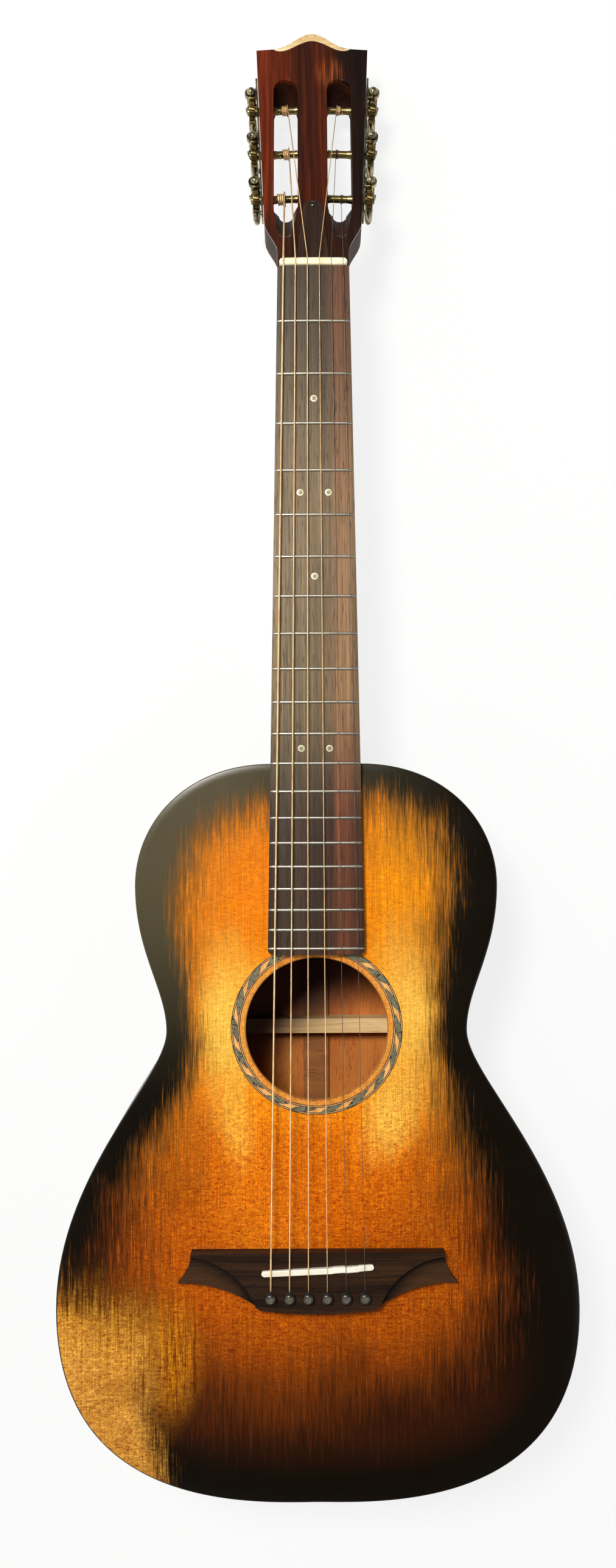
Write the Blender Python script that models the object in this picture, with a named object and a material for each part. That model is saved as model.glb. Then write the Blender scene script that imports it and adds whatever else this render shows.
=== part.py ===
"""Slot-head parlor guitar, lying on its back, as separate named pieces.

Lengths are in metres. Three nested frames carry the pieces:
guitar_axis: z = 0 is the soundboard's face, y = 0 the body's edge at the neck, x runs to the treble side.
head_axis: the tilted headstock, y along the head from the nut, z out of its face.
machine_axis_bass and machine_axis_treble: the head's side faces, x across, y along the side.
"""
import math

import bmesh
import bpy
from mathutils import Matrix, Vector

MM = 0.001
SEAT = 0.3 * MM  # glue line or running clearance between neighbouring pieces

# Scale, frets and strings
SCALE_LENGTH = 630 * MM
BODY_FRET = 12
FRET_COUNT = 20
STRING_COUNT = 6
STRING_DIAMETERS = [1.35 * MM, 1.07 * MM, 0.81 * MM, 0.61 * MM, 0.43 * MM, 0.40 * MM]
STRING_SPREAD_NUT = 37.7 * MM
STRING_SPREAD_SADDLE = 58.6 * MM
ACTION_NUT = 0.5 * MM
ACTION_BODY_FRET = 2.2 * MM

# Fretboard and frets
FRETBOARD_WIDTH_NUT = 45.4 * MM
FRETBOARD_WIDTH_BODY = 56.8 * MM
FRETBOARD_EDGE = 5.4 * MM
FRETBOARD_RADIUS = 406 * MM
FRETBOARD_OVERHANG = 3.9 * MM
FRETBOARD_CORNER = 3.4 * MM
FRET_WIDTH = 2.3 * MM
FRET_CROWN = 1.0 * MM
FRET_HEIGHT = 1.1 * MM

# Nut
NUT_THICKNESS = 4.6 * MM
NUT_WIDTH = 43.0 * MM

# Body outline: half widths, distances from the neck joint, and curve handles
BODY_LENGTH = 466.4 * MM
NECK_LAND = 28.5 * MM
UPPER_HALF = 115.0 * MM
UPPER_AT = 77.2 * MM
WAIST_HALF = 95.3 * MM
WAIST_AT = 169.3 * MM
LOWER_HALF = 165.7 * MM
LOWER_AT = 345.2 * MM
SHOULDER_HANDLE = 55.4 * MM
UPPER_HANDLE_IN = 39.2 * MM
UPPER_HANDLE_OUT = 42.8 * MM
WAIST_HANDLE_IN = 26.5 * MM
WAIST_HANDLE_OUT = 29.9 * MM
LOWER_HANDLE_IN = 86.0 * MM
LOWER_HANDLE_OUT = 130.0 * MM
TAIL_HANDLE = 35.7 * MM

# Body shell
DEPTH_NECK = 88 * MM
DEPTH_TAIL = 98 * MM
TOP_THICKNESS = 2.6 * MM
BACK_THICKNESS = 2.8 * MM
SIDE_THICKNESS = 2.2 * MM
BACK_FLAT_HALF = 42 * MM
BACK_ARCH_RADIUS = 2600 * MM
SOUND_HOLE_RADIUS = 45 * MM
SOUND_HOLE_AT = 168 * MM

# Linings, blocks and braces
LINING_WIDTH = 6 * MM
LINING_HEIGHT = 13 * MM
LINING_EDGE = 4 * MM
NECK_BLOCK_HALF = 34 * MM
NECK_BLOCK_LENGTH = 40 * MM
TAIL_BLOCK_HALF = 30 * MM
TAIL_BLOCK_LENGTH = 17 * MM
TENON_HALF = 9 * MM
TENON_LENGTH = 16 * MM
TENON_TOP = 7 * MM
TENON_BOTTOM = 68 * MM
BRACE_WIDTH = 7 * MM
BRACE_HEIGHT = 13 * MM
BRACE_TIP = 3 * MM
BRACE_END_SLOPE = 38 * MM
X_BRACE_AT = 243 * MM
X_BRACE_ANGLE = math.radians(49)
X_BRACE_UPPER = 108 * MM
X_BRACE_LOWER = 192 * MM
TRANSVERSE_AT = 96 * MM
TONE_BAR_BEHIND_BRIDGE = 43 * MM
TONE_BAR_HALF = 62 * MM
TONE_BAR_ANGLE = math.radians(18)
BACK_BRACE_AT = [64 * MM, 179.5 * MM, 330 * MM]
BACK_BRACE_WIDTH = 10 * MM
BACK_BRACE_HEIGHT = 15 * MM
BACK_STRIP_WIDTH = 17.6 * MM
BACK_STRIP_THICKNESS = 2.4 * MM

# Bridge, saddle and pins
BRIDGE_HALF = 88 * MM
BRIDGE_TOP_HALF = 79.5 * MM
BRIDGE_TIP_DROP = 20 * MM
BRIDGE_BELLY_HALF = 36 * MM
BRIDGE_DEPTH = 38.2 * MM
BRIDGE_HEIGHT = 8.6 * MM
BRIDGE_WING_HEIGHT = 4.6 * MM
BRIDGE_BELLY_RISE = 2.4 * MM
BRIDGE_END_BOW = 2.2 * MM
BRIDGE_LOWER_BOW = 4.6 * MM
BRIDGE_BELLY_BOW = 0.6 * MM
BRIDGE_TO_SADDLE = 10.8 * MM
WING_SCOOP_RADIUS = 49.6 * MM
WING_SCOOP_BACK = 52 * MM
WING_SCOOP_IN = 3 * MM
WING_SCOOP_SLOPE = math.radians(1.6)
BRIDGE_PLATE_CLEARANCE = 3.5 * MM
BRIDGE_PLATE_THICKNESS = 2.4 * MM
SADDLE_LENGTH = 70.6 * MM
SADDLE_THICKNESS = 3.6 * MM
SADDLE_SLANT = math.radians(3.1)
SADDLE_COMPENSATION = 2.3 * MM
SADDLE_SLOT_DEPTH = 5 * MM
PIN_SPACING = 11.8 * MM
PIN_BEHIND_SADDLE = 16.7 * MM
PIN_HEAD_RADIUS = 3.6 * MM
PIN_HEAD_HEIGHT = 4.4 * MM
PIN_SHAFT_RADIUS = 2.4 * MM
PIN_LENGTH = 24 * MM
PIN_HOLE_RADIUS = PIN_SHAFT_RADIUS + SEAT

# Neck shaft, heel and truss rod
NECK_DEPTH_NUT = 16.5 * MM
NECK_DEPTH_BODY = 19.5 * MM
VOLUTE_LENGTH = 26 * MM
HEEL_LENGTH = 58 * MM
HEEL_CAP_LENGTH = 19 * MM
HEEL_CAP_HALF = 13 * MM
HEEL_COVE = 11 * MM
TRUSS_CHANNEL_HALF = 3.2 * MM
TRUSS_CHANNEL_DEPTH = 10 * MM
TRUSS_NUT_REACH = 8 * MM
TRUSS_ROD_RADIUS = 2.6 * MM
TRUSS_NUT_RADIUS = 2.8 * MM
TRUSS_START = 14 * MM
TRUSS_COVER_LENGTH = 46 * MM
TRUSS_COVER_HALF = 10.3 * MM
TRUSS_COVER_TIP_HALF = 6.6 * MM
TRUSS_COVER_THICKNESS = 1.8 * MM

# Headstock, measured along its tilted face from the nut
HEAD_TILT = math.radians(15)
HEAD_THICKNESS = 20 * MM
HEADPLATE_THICKNESS = 2.2 * MM
HEAD_SHOULDER_START = 7 * MM
HEAD_SHOULDER_END = 31.5 * MM
HEAD_SHOULDER_HALF = 31.5 * MM
HEAD_CORNER_AT = 168 * MM
HEAD_CORNER_HALF = 37.4 * MM
HEAD_CREST_AT = 181.5 * MM
CREST_SHOULDER = 3 * MM
SLOT_WIDTH = 16.1 * MM
SLOT_CENTER = 17.8 * MM
SLOT_START_RADIUS = 4.6 * MM
SLOT_FACE_START = 18.5 * MM
SLOT_FACE_TAPER_END = 42.5 * MM
SLOT_FACE_END = 144 * MM
SLOT_BACK_START = 47 * MM
SLOT_BACK_TAPER_END = 57 * MM
SLOT_BACK_END = 138 * MM

# Tuning machines, three to a plate
POSTS_AT = [55.5 * MM, 91 * MM, 126.5 * MM]
POST_DEPTH = 9.5 * MM
POST_RADIUS = 2.3 * MM
POST_COLLAR_LENGTH = 2.2 * MM
POST_SCREW_RADIUS = 2.5 * MM
POST_SCREW_HEIGHT = 1.3 * MM
GEAR_HUB_RADIUS = 3.3 * MM
POST_JOURNAL_RADIUS = 1.9 * MM
POST_JOURNAL_LENGTH = 6 * MM
CHEEK_SHAFT_RADIUS = 2.6 * MM
PLATE_THICKNESS = 1.2 * MM
PLATE_HALF_HEIGHT = 7.6 * MM
PLATE_SCALLOP = 2.2 * MM
PLATE_MARGIN = 14 * MM
GEAR_TEETH = 14
GEAR_MODULE = 0.886 * MM
GEAR_FACE = 4 * MM
TOOTH_ADDENDUM = 0.64 * MM
TOOTH_DEDENDUM = 0.86 * MM
TOOTH_BACKLASH = 0.40 * MM
PRESSURE_ANGLE = math.radians(20)
WORM_PITCH_RADIUS = 2.4 * MM
WORM_TURNS = 2.6
WORM_STEPS = 10
SHAFT_RADIUS = 1.6 * MM
EAR_THICKNESS = 2.2 * MM
EAR_HALF_WIDTH = 3.4 * MM
EAR_HEIGHT = 7.6 * MM
FRONT_KNOB_RADIUS = 2.9 * MM
FRONT_KNOB_LENGTH = 3.6 * MM
BUTTON_START = 14.5 * MM
BUTTON_LENGTH = 15 * MM
BUTTON_HALF_WIDTH = 7 * MM
BUTTON_HALF_THICKNESS = 2.7 * MM

# String windings on the posts
WINDING_LOOPS = 2.25
WINDING_STEPS = 24
WINDING_GAP = 0.6 * MM
WINDING_ENTRY = [18.4 * MM, 15.6 * MM, 16.6 * MM]

# End pin
END_PIN_RADIUS = 7 * MM
END_PIN_LENGTH = 9 * MM
END_PIN_SHAFT_RADIUS = 4 * MM

# Worked-out places
NUT_Y = SCALE_LENGTH * 2 ** (-BODY_FRET / 12)
HEAD_Y = NUT_Y + NUT_THICKNESS
SADDLE_Y = NUT_Y - SCALE_LENGTH - SADDLE_COMPENSATION
BRIDGE_Y = SADDLE_Y + BRIDGE_TO_SADDLE
PIN_Y = SADDLE_Y - PIN_BEHIND_SADDLE
FRETBOARD_END = NUT_Y - SCALE_LENGTH * (1 - 2 ** (-FRET_COUNT / 12)) - FRETBOARD_OVERHANG
BACK_SLOPE = (DEPTH_TAIL - DEPTH_NECK) / BODY_LENGTH
BACK_ANGLE = math.atan(BACK_SLOPE)
HEAD_SIDE_SLOPE = (HEAD_CORNER_HALF - HEAD_SHOULDER_HALF) / (HEAD_CORNER_AT - HEAD_SHOULDER_END)
HEAD_SIDE_ANGLE = math.atan(HEAD_SIDE_SLOPE)
HEAD_SIDE_ORIGIN = HEAD_SHOULDER_HALF - HEAD_SIDE_SLOPE * HEAD_SHOULDER_END
HEAD_CORE_TOP = -HEADPLATE_THICKNESS - SEAT
GEAR_RADIUS = GEAR_TEETH * GEAR_MODULE / 2
THREAD_PITCH = math.pi * GEAR_MODULE
WORM_RADIUS = WORM_PITCH_RADIUS + TOOTH_ADDENDUM
WORM_OFFSET = GEAR_RADIUS + WORM_PITCH_RADIUS
LEAD_SLOPE = THREAD_PITCH / (2 * math.pi * WORM_PITCH_RADIUS)
GEAR_PLANE = SEAT + PLATE_THICKNESS + SEAT + WORM_RADIUS
SIDES = {"bass": -1, "treble": 1}

MATERIALS = {
    "sunburst_spruce": ((0.72, 0.40, 0.12), 0.35, 0.0),
    "dark_mahogany": ((0.10, 0.045, 0.03), 0.4, 0.0),
    "inner_wood": ((0.62, 0.42, 0.24), 0.7, 0.0),
    "brace_spruce": ((0.78, 0.62, 0.40), 0.75, 0.0),
    "rosewood": ((0.13, 0.08, 0.065), 0.5, 0.0),
    "head_veneer": ((0.09, 0.03, 0.025), 0.2, 0.0),
    "bone": ((0.86, 0.80, 0.66), 0.4, 0.0),
    "black_pin": ((0.03, 0.03, 0.03), 0.3, 0.0),
    "aged_brass": ((0.36, 0.28, 0.17), 0.4, 1.0),
    "bronze_string": ((0.55, 0.34, 0.17), 0.35, 1.0),
    "steel_string": ((0.45, 0.44, 0.42), 0.3, 1.0),
    "steel_rod": ((0.30, 0.30, 0.31), 0.45, 1.0),
}


def clear_scene():
    """Remove the objects that a new file starts with."""
    for item in list(bpy.data.objects):
        bpy.data.objects.remove(item, do_unlink=True)


def material(name):
    """Return the named finish, made on first use."""
    if name in bpy.data.materials:
        return bpy.data.materials[name]
    color, roughness, metallic = MATERIALS[name]
    finish = bpy.data.materials.new(name)
    finish.use_nodes = True
    shader = finish.node_tree.nodes["Principled BSDF"]
    shader.inputs["Base Color"].default_value = (*color, 1)
    shader.inputs["Roughness"].default_value = roughness
    shader.inputs["Metallic"].default_value = metallic
    return finish


def add_axis(name, location, rotation, parent=None):
    """An empty that carries a group of pieces."""
    axis = bpy.data.objects.new(name, None)
    axis.location = location
    axis.rotation_euler = rotation
    axis.parent = parent
    bpy.context.collection.objects.link(axis)
    return axis


def add_solid(name, shape, parent, finish=None, location=(0, 0, 0), turn=0.0):
    """Turn a bmesh into an object; without a finish it is a cutter or a lump for a union."""
    bmesh.ops.recalc_face_normals(shape, faces=shape.faces)
    mesh = bpy.data.meshes.new(name)
    shape.to_mesh(mesh)
    shape.free()
    solid = bpy.data.objects.new(name, mesh)
    solid.parent = parent
    solid.location = location
    solid.rotation_euler = (0, 0, turn)
    bpy.context.collection.objects.link(solid)
    if finish:
        mesh.materials.append(material(finish))
        mesh.shade_smooth()
        mesh.set_sharp_from_angle(angle=math.radians(32))
    else:
        solid.hide_render = True
        solid.display_type = "WIRE"
    return solid


def combine(solid, tool, operation):
    """Cut a tool from a solid, or join a lump to it."""
    boolean = solid.modifiers.new(operation.lower(), "BOOLEAN")
    boolean.operation = operation
    boolean.object = tool
    boolean.solver = "EXACT"


def loft(rings, shape=None):
    """A closed body through rings of equally many points, capped at both ends."""
    shape = shape or bmesh.new()
    loops = [[shape.verts.new(point) for point in ring] for ring in rings]
    count = len(loops[0])
    for lower, upper in zip(loops, loops[1:]):
        for i in range(count):
            j = (i + 1) % count
            shape.faces.new((lower[i], lower[j], upper[j], upper[i]))
    shape.faces.new(loops[0])
    shape.faces.new(loops[-1])
    return shape


def prism(outline, bottom, top, shape=None):
    """An upright body over a flat outline."""
    return loft([[(x, y, z) for x, y in outline] for z in (bottom, top)], shape)


def block(low, high, shape=None):
    """A rectangular body between two corners."""
    outline = [(low[0], low[1]), (high[0], low[1]), (high[0], high[1]), (low[0], high[1])]
    return prism(outline, low[2], high[2], shape)


def turned(profile, axis="Z", sides=12, center=(0, 0, 0), shape=None):
    """A round body about an axis, from (distance along it, radius) pairs."""
    rings = []
    for along, radius in profile:
        ring = []
        for i in range(sides):
            angle = 2 * math.pi * i / sides
            a, b = radius * math.cos(angle), radius * math.sin(angle)
            point = {"X": (along, a, b), "Y": (b, along, a), "Z": (a, b, along)}[axis]
            ring.append(Vector(center) + Vector(point))
        rings.append(ring)
    return loft(rings, shape)


def bezier(p0, p1, p2, p3, steps):
    """Points on a cubic curve, without its last one."""
    points = []
    for i in range(steps):
        t = i / steps
        u = 1 - t
        weights = (u * u * u, 3 * u * u * t, 3 * u * t * t, t * t * t)
        points.append(sum((Vector(p) * w for p, w in zip((p0, p1, p2, p3), weights)), Vector((0, 0))))
    return points


def arc_between(start, end, bulge, steps):
    """Points on a shallow arc from start to end; a positive bulge bows it to the left."""
    start, end = Vector(start), Vector(end)
    across = Vector((-(end - start).y, (end - start).x)).normalized()
    points = []
    for i in range(steps + 1):
        t = i / steps
        points.append(start.lerp(end, t) + across * bulge * 4 * t * (1 - t))
    return points


def half_outline():
    """The treble half of the body's edge, from the neck joint round to the tail."""
    upper, waist, lower = (UPPER_HALF, -UPPER_AT), (WAIST_HALF, -WAIST_AT), (LOWER_HALF, -LOWER_AT)
    points = [Vector((0, 0))]
    points += bezier((NECK_LAND, 0), (NECK_LAND + SHOULDER_HANDLE, 0),
                     (UPPER_HALF, -UPPER_AT + UPPER_HANDLE_IN), upper, 8)
    points += bezier(upper, (UPPER_HALF, -UPPER_AT - UPPER_HANDLE_OUT),
                     (WAIST_HALF, -WAIST_AT + WAIST_HANDLE_IN), waist, 6)
    points += bezier(waist, (WAIST_HALF, -WAIST_AT - WAIST_HANDLE_OUT),
                     (LOWER_HALF, -LOWER_AT + LOWER_HANDLE_IN), lower, 8)
    points += bezier(lower, (LOWER_HALF, -LOWER_AT - LOWER_HANDLE_OUT),
                     (TAIL_HANDLE, -BODY_LENGTH), (0, -BODY_LENGTH), 12)
    points.append(Vector((0, -BODY_LENGTH)))
    return points


def inset(points, distance):
    """A half outline moved inwards by a distance."""
    moved = []
    for i, point in enumerate(points):
        before = points[max(i - 1, 0)]
        after = points[min(i + 1, len(points) - 1)]
        along = (after - before).normalized()
        if i == 0 or i == len(points) - 1:
            along = Vector((1, 0)) if i == 0 else Vector((-1, 0))
        moved.append(point + Vector((along.y, -along.x)) * distance)
    return moved


def clip_from_center(points, start_x, end_x):
    """The stretch of a half outline between a start and an end distance from the centre line."""
    kept = [p.copy() for p in points if p.x >= (start_x if p.y > -WAIST_AT else end_x)]
    first = points.index(next(p for p in points if p.x >= start_x))
    last = len(points) - 1 - points[::-1].index(next(p for p in points[::-1] if p.x >= end_x))
    a, b = points[first - 1], points[first]
    kept.insert(0, a.lerp(b, (start_x - a.x) / (b.x - a.x)))
    a, b = points[last], points[last + 1]
    kept.append(a.lerp(b, (a.x - end_x) / (a.x - b.x)))
    return kept


def full_outline(distance=0.0):
    """The whole body's edge as one closed outline."""
    treble = inset(half_outline(), distance)
    bass = [Vector((-p.x, p.y)) for p in treble[1:-1]]
    return treble + bass[::-1]


def back_face(x, y):
    """Height of the back's outer face, flat along the middle and arched towards the edges."""
    beyond = max(0.0, abs(x) - BACK_FLAT_HALF)
    return -DEPTH_NECK + BACK_SLOPE * y + beyond * beyond / (2 * BACK_ARCH_RADIUS)


def back_inside(x, y):
    """Height of the back's inner face plus a glue line."""
    return back_face(x, y) + BACK_THICKNESS + SEAT


def fretboard_half(y):
    """Half the fretboard's width at a place along the neck."""
    slope = (FRETBOARD_WIDTH_BODY - FRETBOARD_WIDTH_NUT) / NUT_Y
    return (FRETBOARD_WIDTH_BODY - slope * y) / 2


def crowned(height, x):
    """A height at the centre line, lowered at x by the fretboard's radius."""
    return height - x * x / (2 * FRETBOARD_RADIUS)


def fretboard_top():
    """Height of the fretboard's face on the centre line."""
    half = FRETBOARD_WIDTH_BODY / 2
    return SEAT + FRETBOARD_EDGE + half * half / (2 * FRETBOARD_RADIUS)


def string_share(index):
    """Place of a string across the neck, from -0.5 on the bass side to 0.5."""
    return index / (STRING_COUNT - 1) - 0.5


def string_at_nut(index):
    """Centre of a string over the nut."""
    x = STRING_SPREAD_NUT * string_share(index)
    height = fretboard_top() + FRET_HEIGHT + ACTION_NUT
    return Vector((x, NUT_Y, crowned(height, x) + STRING_DIAMETERS[index] / 2))


def string_at_saddle(index):
    """Centre of a string over the saddle."""
    x = STRING_SPREAD_SADDLE * string_share(index)
    height = fretboard_top() + FRET_HEIGHT + 2 * ACTION_BODY_FRET - ACTION_NUT
    y = SADDLE_Y + x * math.tan(SADDLE_SLANT)
    return Vector((x, y, crowned(height, x) + STRING_DIAMETERS[index] / 2))


def fret_y(number):
    """Place of a fret along the neck."""
    return NUT_Y - SCALE_LENGTH * (1 - 2 ** (-number / 12))


def build_soundboard(parent, pin_holes):
    """Spruce top with its round sound hole and six pin holes."""
    board = add_solid("soundboard", prism(full_outline(), -TOP_THICKNESS, 0), parent, "sunburst_spruce")
    reach = 2 * TOP_THICKNESS
    hole = turned([(-reach, SOUND_HOLE_RADIUS), (reach, SOUND_HOLE_RADIUS)], sides=40,
                  center=(0, -SOUND_HOLE_AT, 0))
    combine(board, add_solid("sound_hole_cutter", hole, parent), "DIFFERENCE")
    combine(board, pin_holes, "DIFFERENCE")


def build_back(parent):
    """Back plate: the body's outline cut from a board that is arched across its width."""
    margin = 5 * MM
    steps = 5
    outer = LOWER_HALF + margin
    xs = [BACK_FLAT_HALF + (outer - BACK_FLAT_HALF) * i / steps for i in range(steps + 1)]
    xs = [-x for x in reversed(xs)] + xs
    rings = []
    for y in (margin, -BODY_LENGTH - margin):
        lower = [(x, y, back_face(x, y)) for x in xs]
        upper = [(x, y, back_face(x, y) + BACK_THICKNESS) for x in reversed(xs)]
        rings.append(lower + upper)
    back = add_solid("back_plate", loft(rings), parent, "dark_mahogany")
    outline = prism(full_outline(), -DEPTH_TAIL - margin, -DEPTH_NECK + 3 * margin)
    combine(back, add_solid("back_outline_cutter", outline, parent), "INTERSECT")


def build_sides(parent):
    """Two bent sides between the back and the top."""
    outer = half_outline()
    inner = inset(outer, SIDE_THICKNESS)
    start = TENON_HALF + SEAT
    end = SEAT / 2
    for name, sign in SIDES.items():
        rings = []
        for out, inn in zip(clip_from_center(outer, start, end), clip_from_center(inner, start, end)):
            rings.append([
                (sign * out.x, out.y, back_inside(out.x, out.y)),
                (sign * out.x, out.y, -TOP_THICKNESS - SEAT),
                (sign * inn.x, inn.y, -TOP_THICKNESS - SEAT),
                (sign * inn.x, inn.y, back_inside(inn.x, inn.y)),
            ])
        add_solid("side_" + name, loft(rings), parent, "dark_mahogany")


def build_linings(parent):
    """Glue strips inside the sides, deep at the wall and thin at their inner edge."""
    edge = half_outline()
    start = NECK_BLOCK_HALF + SEAT
    end = TAIL_BLOCK_HALF + SEAT
    outer = clip_from_center(inset(edge, SIDE_THICKNESS + SEAT), start, end)
    inner = clip_from_center(inset(edge, SIDE_THICKNESS + SEAT + LINING_WIDTH), start, end)
    for name, sign in SIDES.items():
        top_rings, back_rings = [], []
        top = -TOP_THICKNESS - SEAT
        for out, inn in zip(outer, inner):
            top_rings.append([
                (sign * out.x, out.y, top),
                (sign * out.x, out.y, top - LINING_HEIGHT),
                (sign * inn.x, inn.y, top - LINING_EDGE),
                (sign * inn.x, inn.y, top),
            ])
            low_out, low_in = back_inside(out.x, out.y), back_inside(inn.x, inn.y)
            back_rings.append([
                (sign * out.x, out.y, low_out),
                (sign * out.x, out.y, low_out + LINING_HEIGHT),
                (sign * inn.x, inn.y, low_in + LINING_EDGE),
                (sign * inn.x, inn.y, low_in),
            ])
        add_solid("top_lining_" + name, loft(top_rings), parent, "inner_wood")
        add_solid("back_lining_" + name, loft(back_rings), parent, "inner_wood")


def standing_block(half, straight, at_tail):
    """A block between back and top, bedded on the side's inner face, whose foot follows the back."""
    run = inset(half_outline(), SIDE_THICKNESS + SEAT)
    if at_tail:
        run = run[::-1]
    edge = [run[0]]
    for a, b in zip(run, run[1:]):
        if b.x >= half:
            edge.append(a.lerp(b, (half - a.x) / (b.x - a.x)))
            break
        edge.append(b)
    outline = [(-p.x, p.y) for p in edge[:0:-1]] + [(p.x, p.y) for p in edge]
    outline += [(half, straight), (-half, straight)]
    low = [(x, y, back_inside(x, y)) for x, y in outline]
    high = [(x, y, -TOP_THICKNESS - SEAT) for x, y in outline]
    return loft([low, high])


def build_blocks(parent):
    """Neck block with its mortise, tail block with the end pin's hole, and the end pin."""
    wall = SIDE_THICKNESS + SEAT
    neck_block = standing_block(NECK_BLOCK_HALF, -NECK_BLOCK_LENGTH, False)
    neck_block = add_solid("neck_block", neck_block, parent, "inner_wood")
    mortise = block((-TENON_HALF - SEAT, -TENON_LENGTH - SEAT, -TENON_BOTTOM - SEAT),
                    (TENON_HALF + SEAT, SIDE_THICKNESS, -TENON_TOP + SEAT))
    combine(neck_block, add_solid("mortise_cutter", mortise, parent), "DIFFERENCE")

    rear = -BODY_LENGTH
    center = -(DEPTH_TAIL + TOP_THICKNESS - BACK_THICKNESS) / 2
    tail_block = standing_block(TAIL_BLOCK_HALF, rear + wall + TAIL_BLOCK_LENGTH, True)
    tail_block = add_solid("tail_block", tail_block, parent, "inner_wood")
    bore_end = rear + wall + TAIL_BLOCK_LENGTH + SEAT
    bore = turned([(rear - wall, END_PIN_SHAFT_RADIUS + SEAT), (bore_end, END_PIN_SHAFT_RADIUS + SEAT)],
                  axis="Y", center=(0, 0, center))
    bore = add_solid("end_pin_bore_cutter", bore, parent)
    for target in (tail_block, bpy.data.objects["side_bass"], bpy.data.objects["side_treble"]):
        combine(target, bore, "DIFFERENCE")

    face = rear - SEAT
    profile = [
        (face - END_PIN_LENGTH, END_PIN_RADIUS * 0.55),
        (face - END_PIN_LENGTH * 0.9, END_PIN_RADIUS * 0.85),
        (face - END_PIN_LENGTH * 0.72, END_PIN_RADIUS * 0.9),
        (face - END_PIN_LENGTH * 0.45, END_PIN_RADIUS * 0.6),
        (face - END_PIN_LENGTH * 0.2, END_PIN_RADIUS * 0.65),
        (face - END_PIN_LENGTH * 0.1, END_PIN_RADIUS),
        (face, END_PIN_RADIUS),
        (face, END_PIN_SHAFT_RADIUS),
        (bore_end - SEAT, END_PIN_SHAFT_RADIUS),
    ]
    add_solid("end_pin", turned(profile, axis="Y", center=(0, 0, center)), parent, "black_pin")


def brace_profile(start, end, height, notch_from=0.0, notch_to=0.0, notch_low=0.0, notch_high=0.0):
    """Side view of a brace as (along, depth) points, thinned at both ends, with one lap or notch."""
    slope = min(BRACE_END_SLOPE, (end - start) / 3)
    upper = [(start, 0.0)]
    if notch_low == 0.0 and notch_high > 0.0:
        upper += [(notch_from, 0.0), (notch_from, notch_high), (notch_to, notch_high), (notch_to, 0.0)]
    upper.append((end, 0.0))
    lower = [(end, BRACE_TIP), (end - slope, height)]
    if notch_low > 0.0:
        lower += [(notch_to, height), (notch_to, notch_low), (notch_from, notch_low), (notch_from, height)]
    lower += [(start + slope, height), (start, BRACE_TIP)]
    return upper + lower


def add_top_brace(name, parent, profile, center, angle):
    """A brace glued under the top, running at an angle from the guitar's centre line."""
    under = -TOP_THICKNESS - SEAT
    rings = []
    for side in (-BRACE_WIDTH / 2, BRACE_WIDTH / 2):
        rings.append([(side, along, under - depth) for along, depth in profile])
    add_solid(name, loft(rings), parent, "brace_spruce", location=center, turn=angle)


def build_top_braces(parent, pin_holes):
    """X brace with its half lap, transverse brace, tone bar and bridge plate."""
    lap = (BRACE_WIDTH / 2 + SEAT) / math.sin(2 * X_BRACE_ANGLE)
    lap += abs(BRACE_WIDTH / 2 / math.tan(2 * X_BRACE_ANGLE))
    half = BRACE_HEIGHT / 2
    crossing = (0, -X_BRACE_AT, 0)
    under_lap = brace_profile(-X_BRACE_LOWER, X_BRACE_UPPER, BRACE_HEIGHT, -lap, lap, 0.0, half + SEAT / 2)
    over_lap = brace_profile(-X_BRACE_LOWER, X_BRACE_UPPER, BRACE_HEIGHT, -lap, lap, half - SEAT / 2)
    add_top_brace("x_brace_bass", parent, over_lap, crossing, X_BRACE_ANGLE)
    add_top_brace("x_brace_treble", parent, under_lap, crossing, -X_BRACE_ANGLE)

    room = SIDE_THICKNESS + 2 * SEAT + LINING_WIDTH
    reach = UPPER_HALF - room - 4 * MM
    bar = brace_profile(-reach, reach, BRACE_HEIGHT)
    add_top_brace("upper_transverse_brace", parent, bar, (0, -TRANSVERSE_AT, 0), math.pi / 2)
    bar = brace_profile(-TONE_BAR_HALF, TONE_BAR_HALF, BRACE_HEIGHT * 0.7)
    tone_bar_y = BRIDGE_Y - BRIDGE_DEPTH - TONE_BAR_BEHIND_BRIDGE
    add_top_brace("tone_bar", parent, bar, (0, tone_bar_y, 0), math.pi / 2 - TONE_BAR_ANGLE)

    under = -TOP_THICKNESS - SEAT
    leg = (-BRIDGE_Y - X_BRACE_AT) * math.tan(X_BRACE_ANGLE)
    plate_half = leg - BRACE_WIDTH / 2 / math.cos(X_BRACE_ANGLE) - BRIDGE_PLATE_CLEARANCE
    plate = block((-plate_half, BRIDGE_Y - BRIDGE_DEPTH, under - BRIDGE_PLATE_THICKNESS),
                  (plate_half, BRIDGE_Y, under))
    plate = add_solid("bridge_plate", plate, parent, "inner_wood")
    combine(plate, pin_holes, "DIFFERENCE")


def body_half_at(y):
    """Half the body's inner width between its linings at a place along it."""
    edge = inset(half_outline(), SIDE_THICKNESS + 2 * SEAT + LINING_WIDTH)
    for a, b in zip(edge, edge[1:]):
        if b.y <= y <= a.y and a.y > b.y and a.x > NECK_LAND:
            return a.lerp(b, (a.y - y) / (a.y - b.y)).x
    raise ValueError("no outline there")


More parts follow.
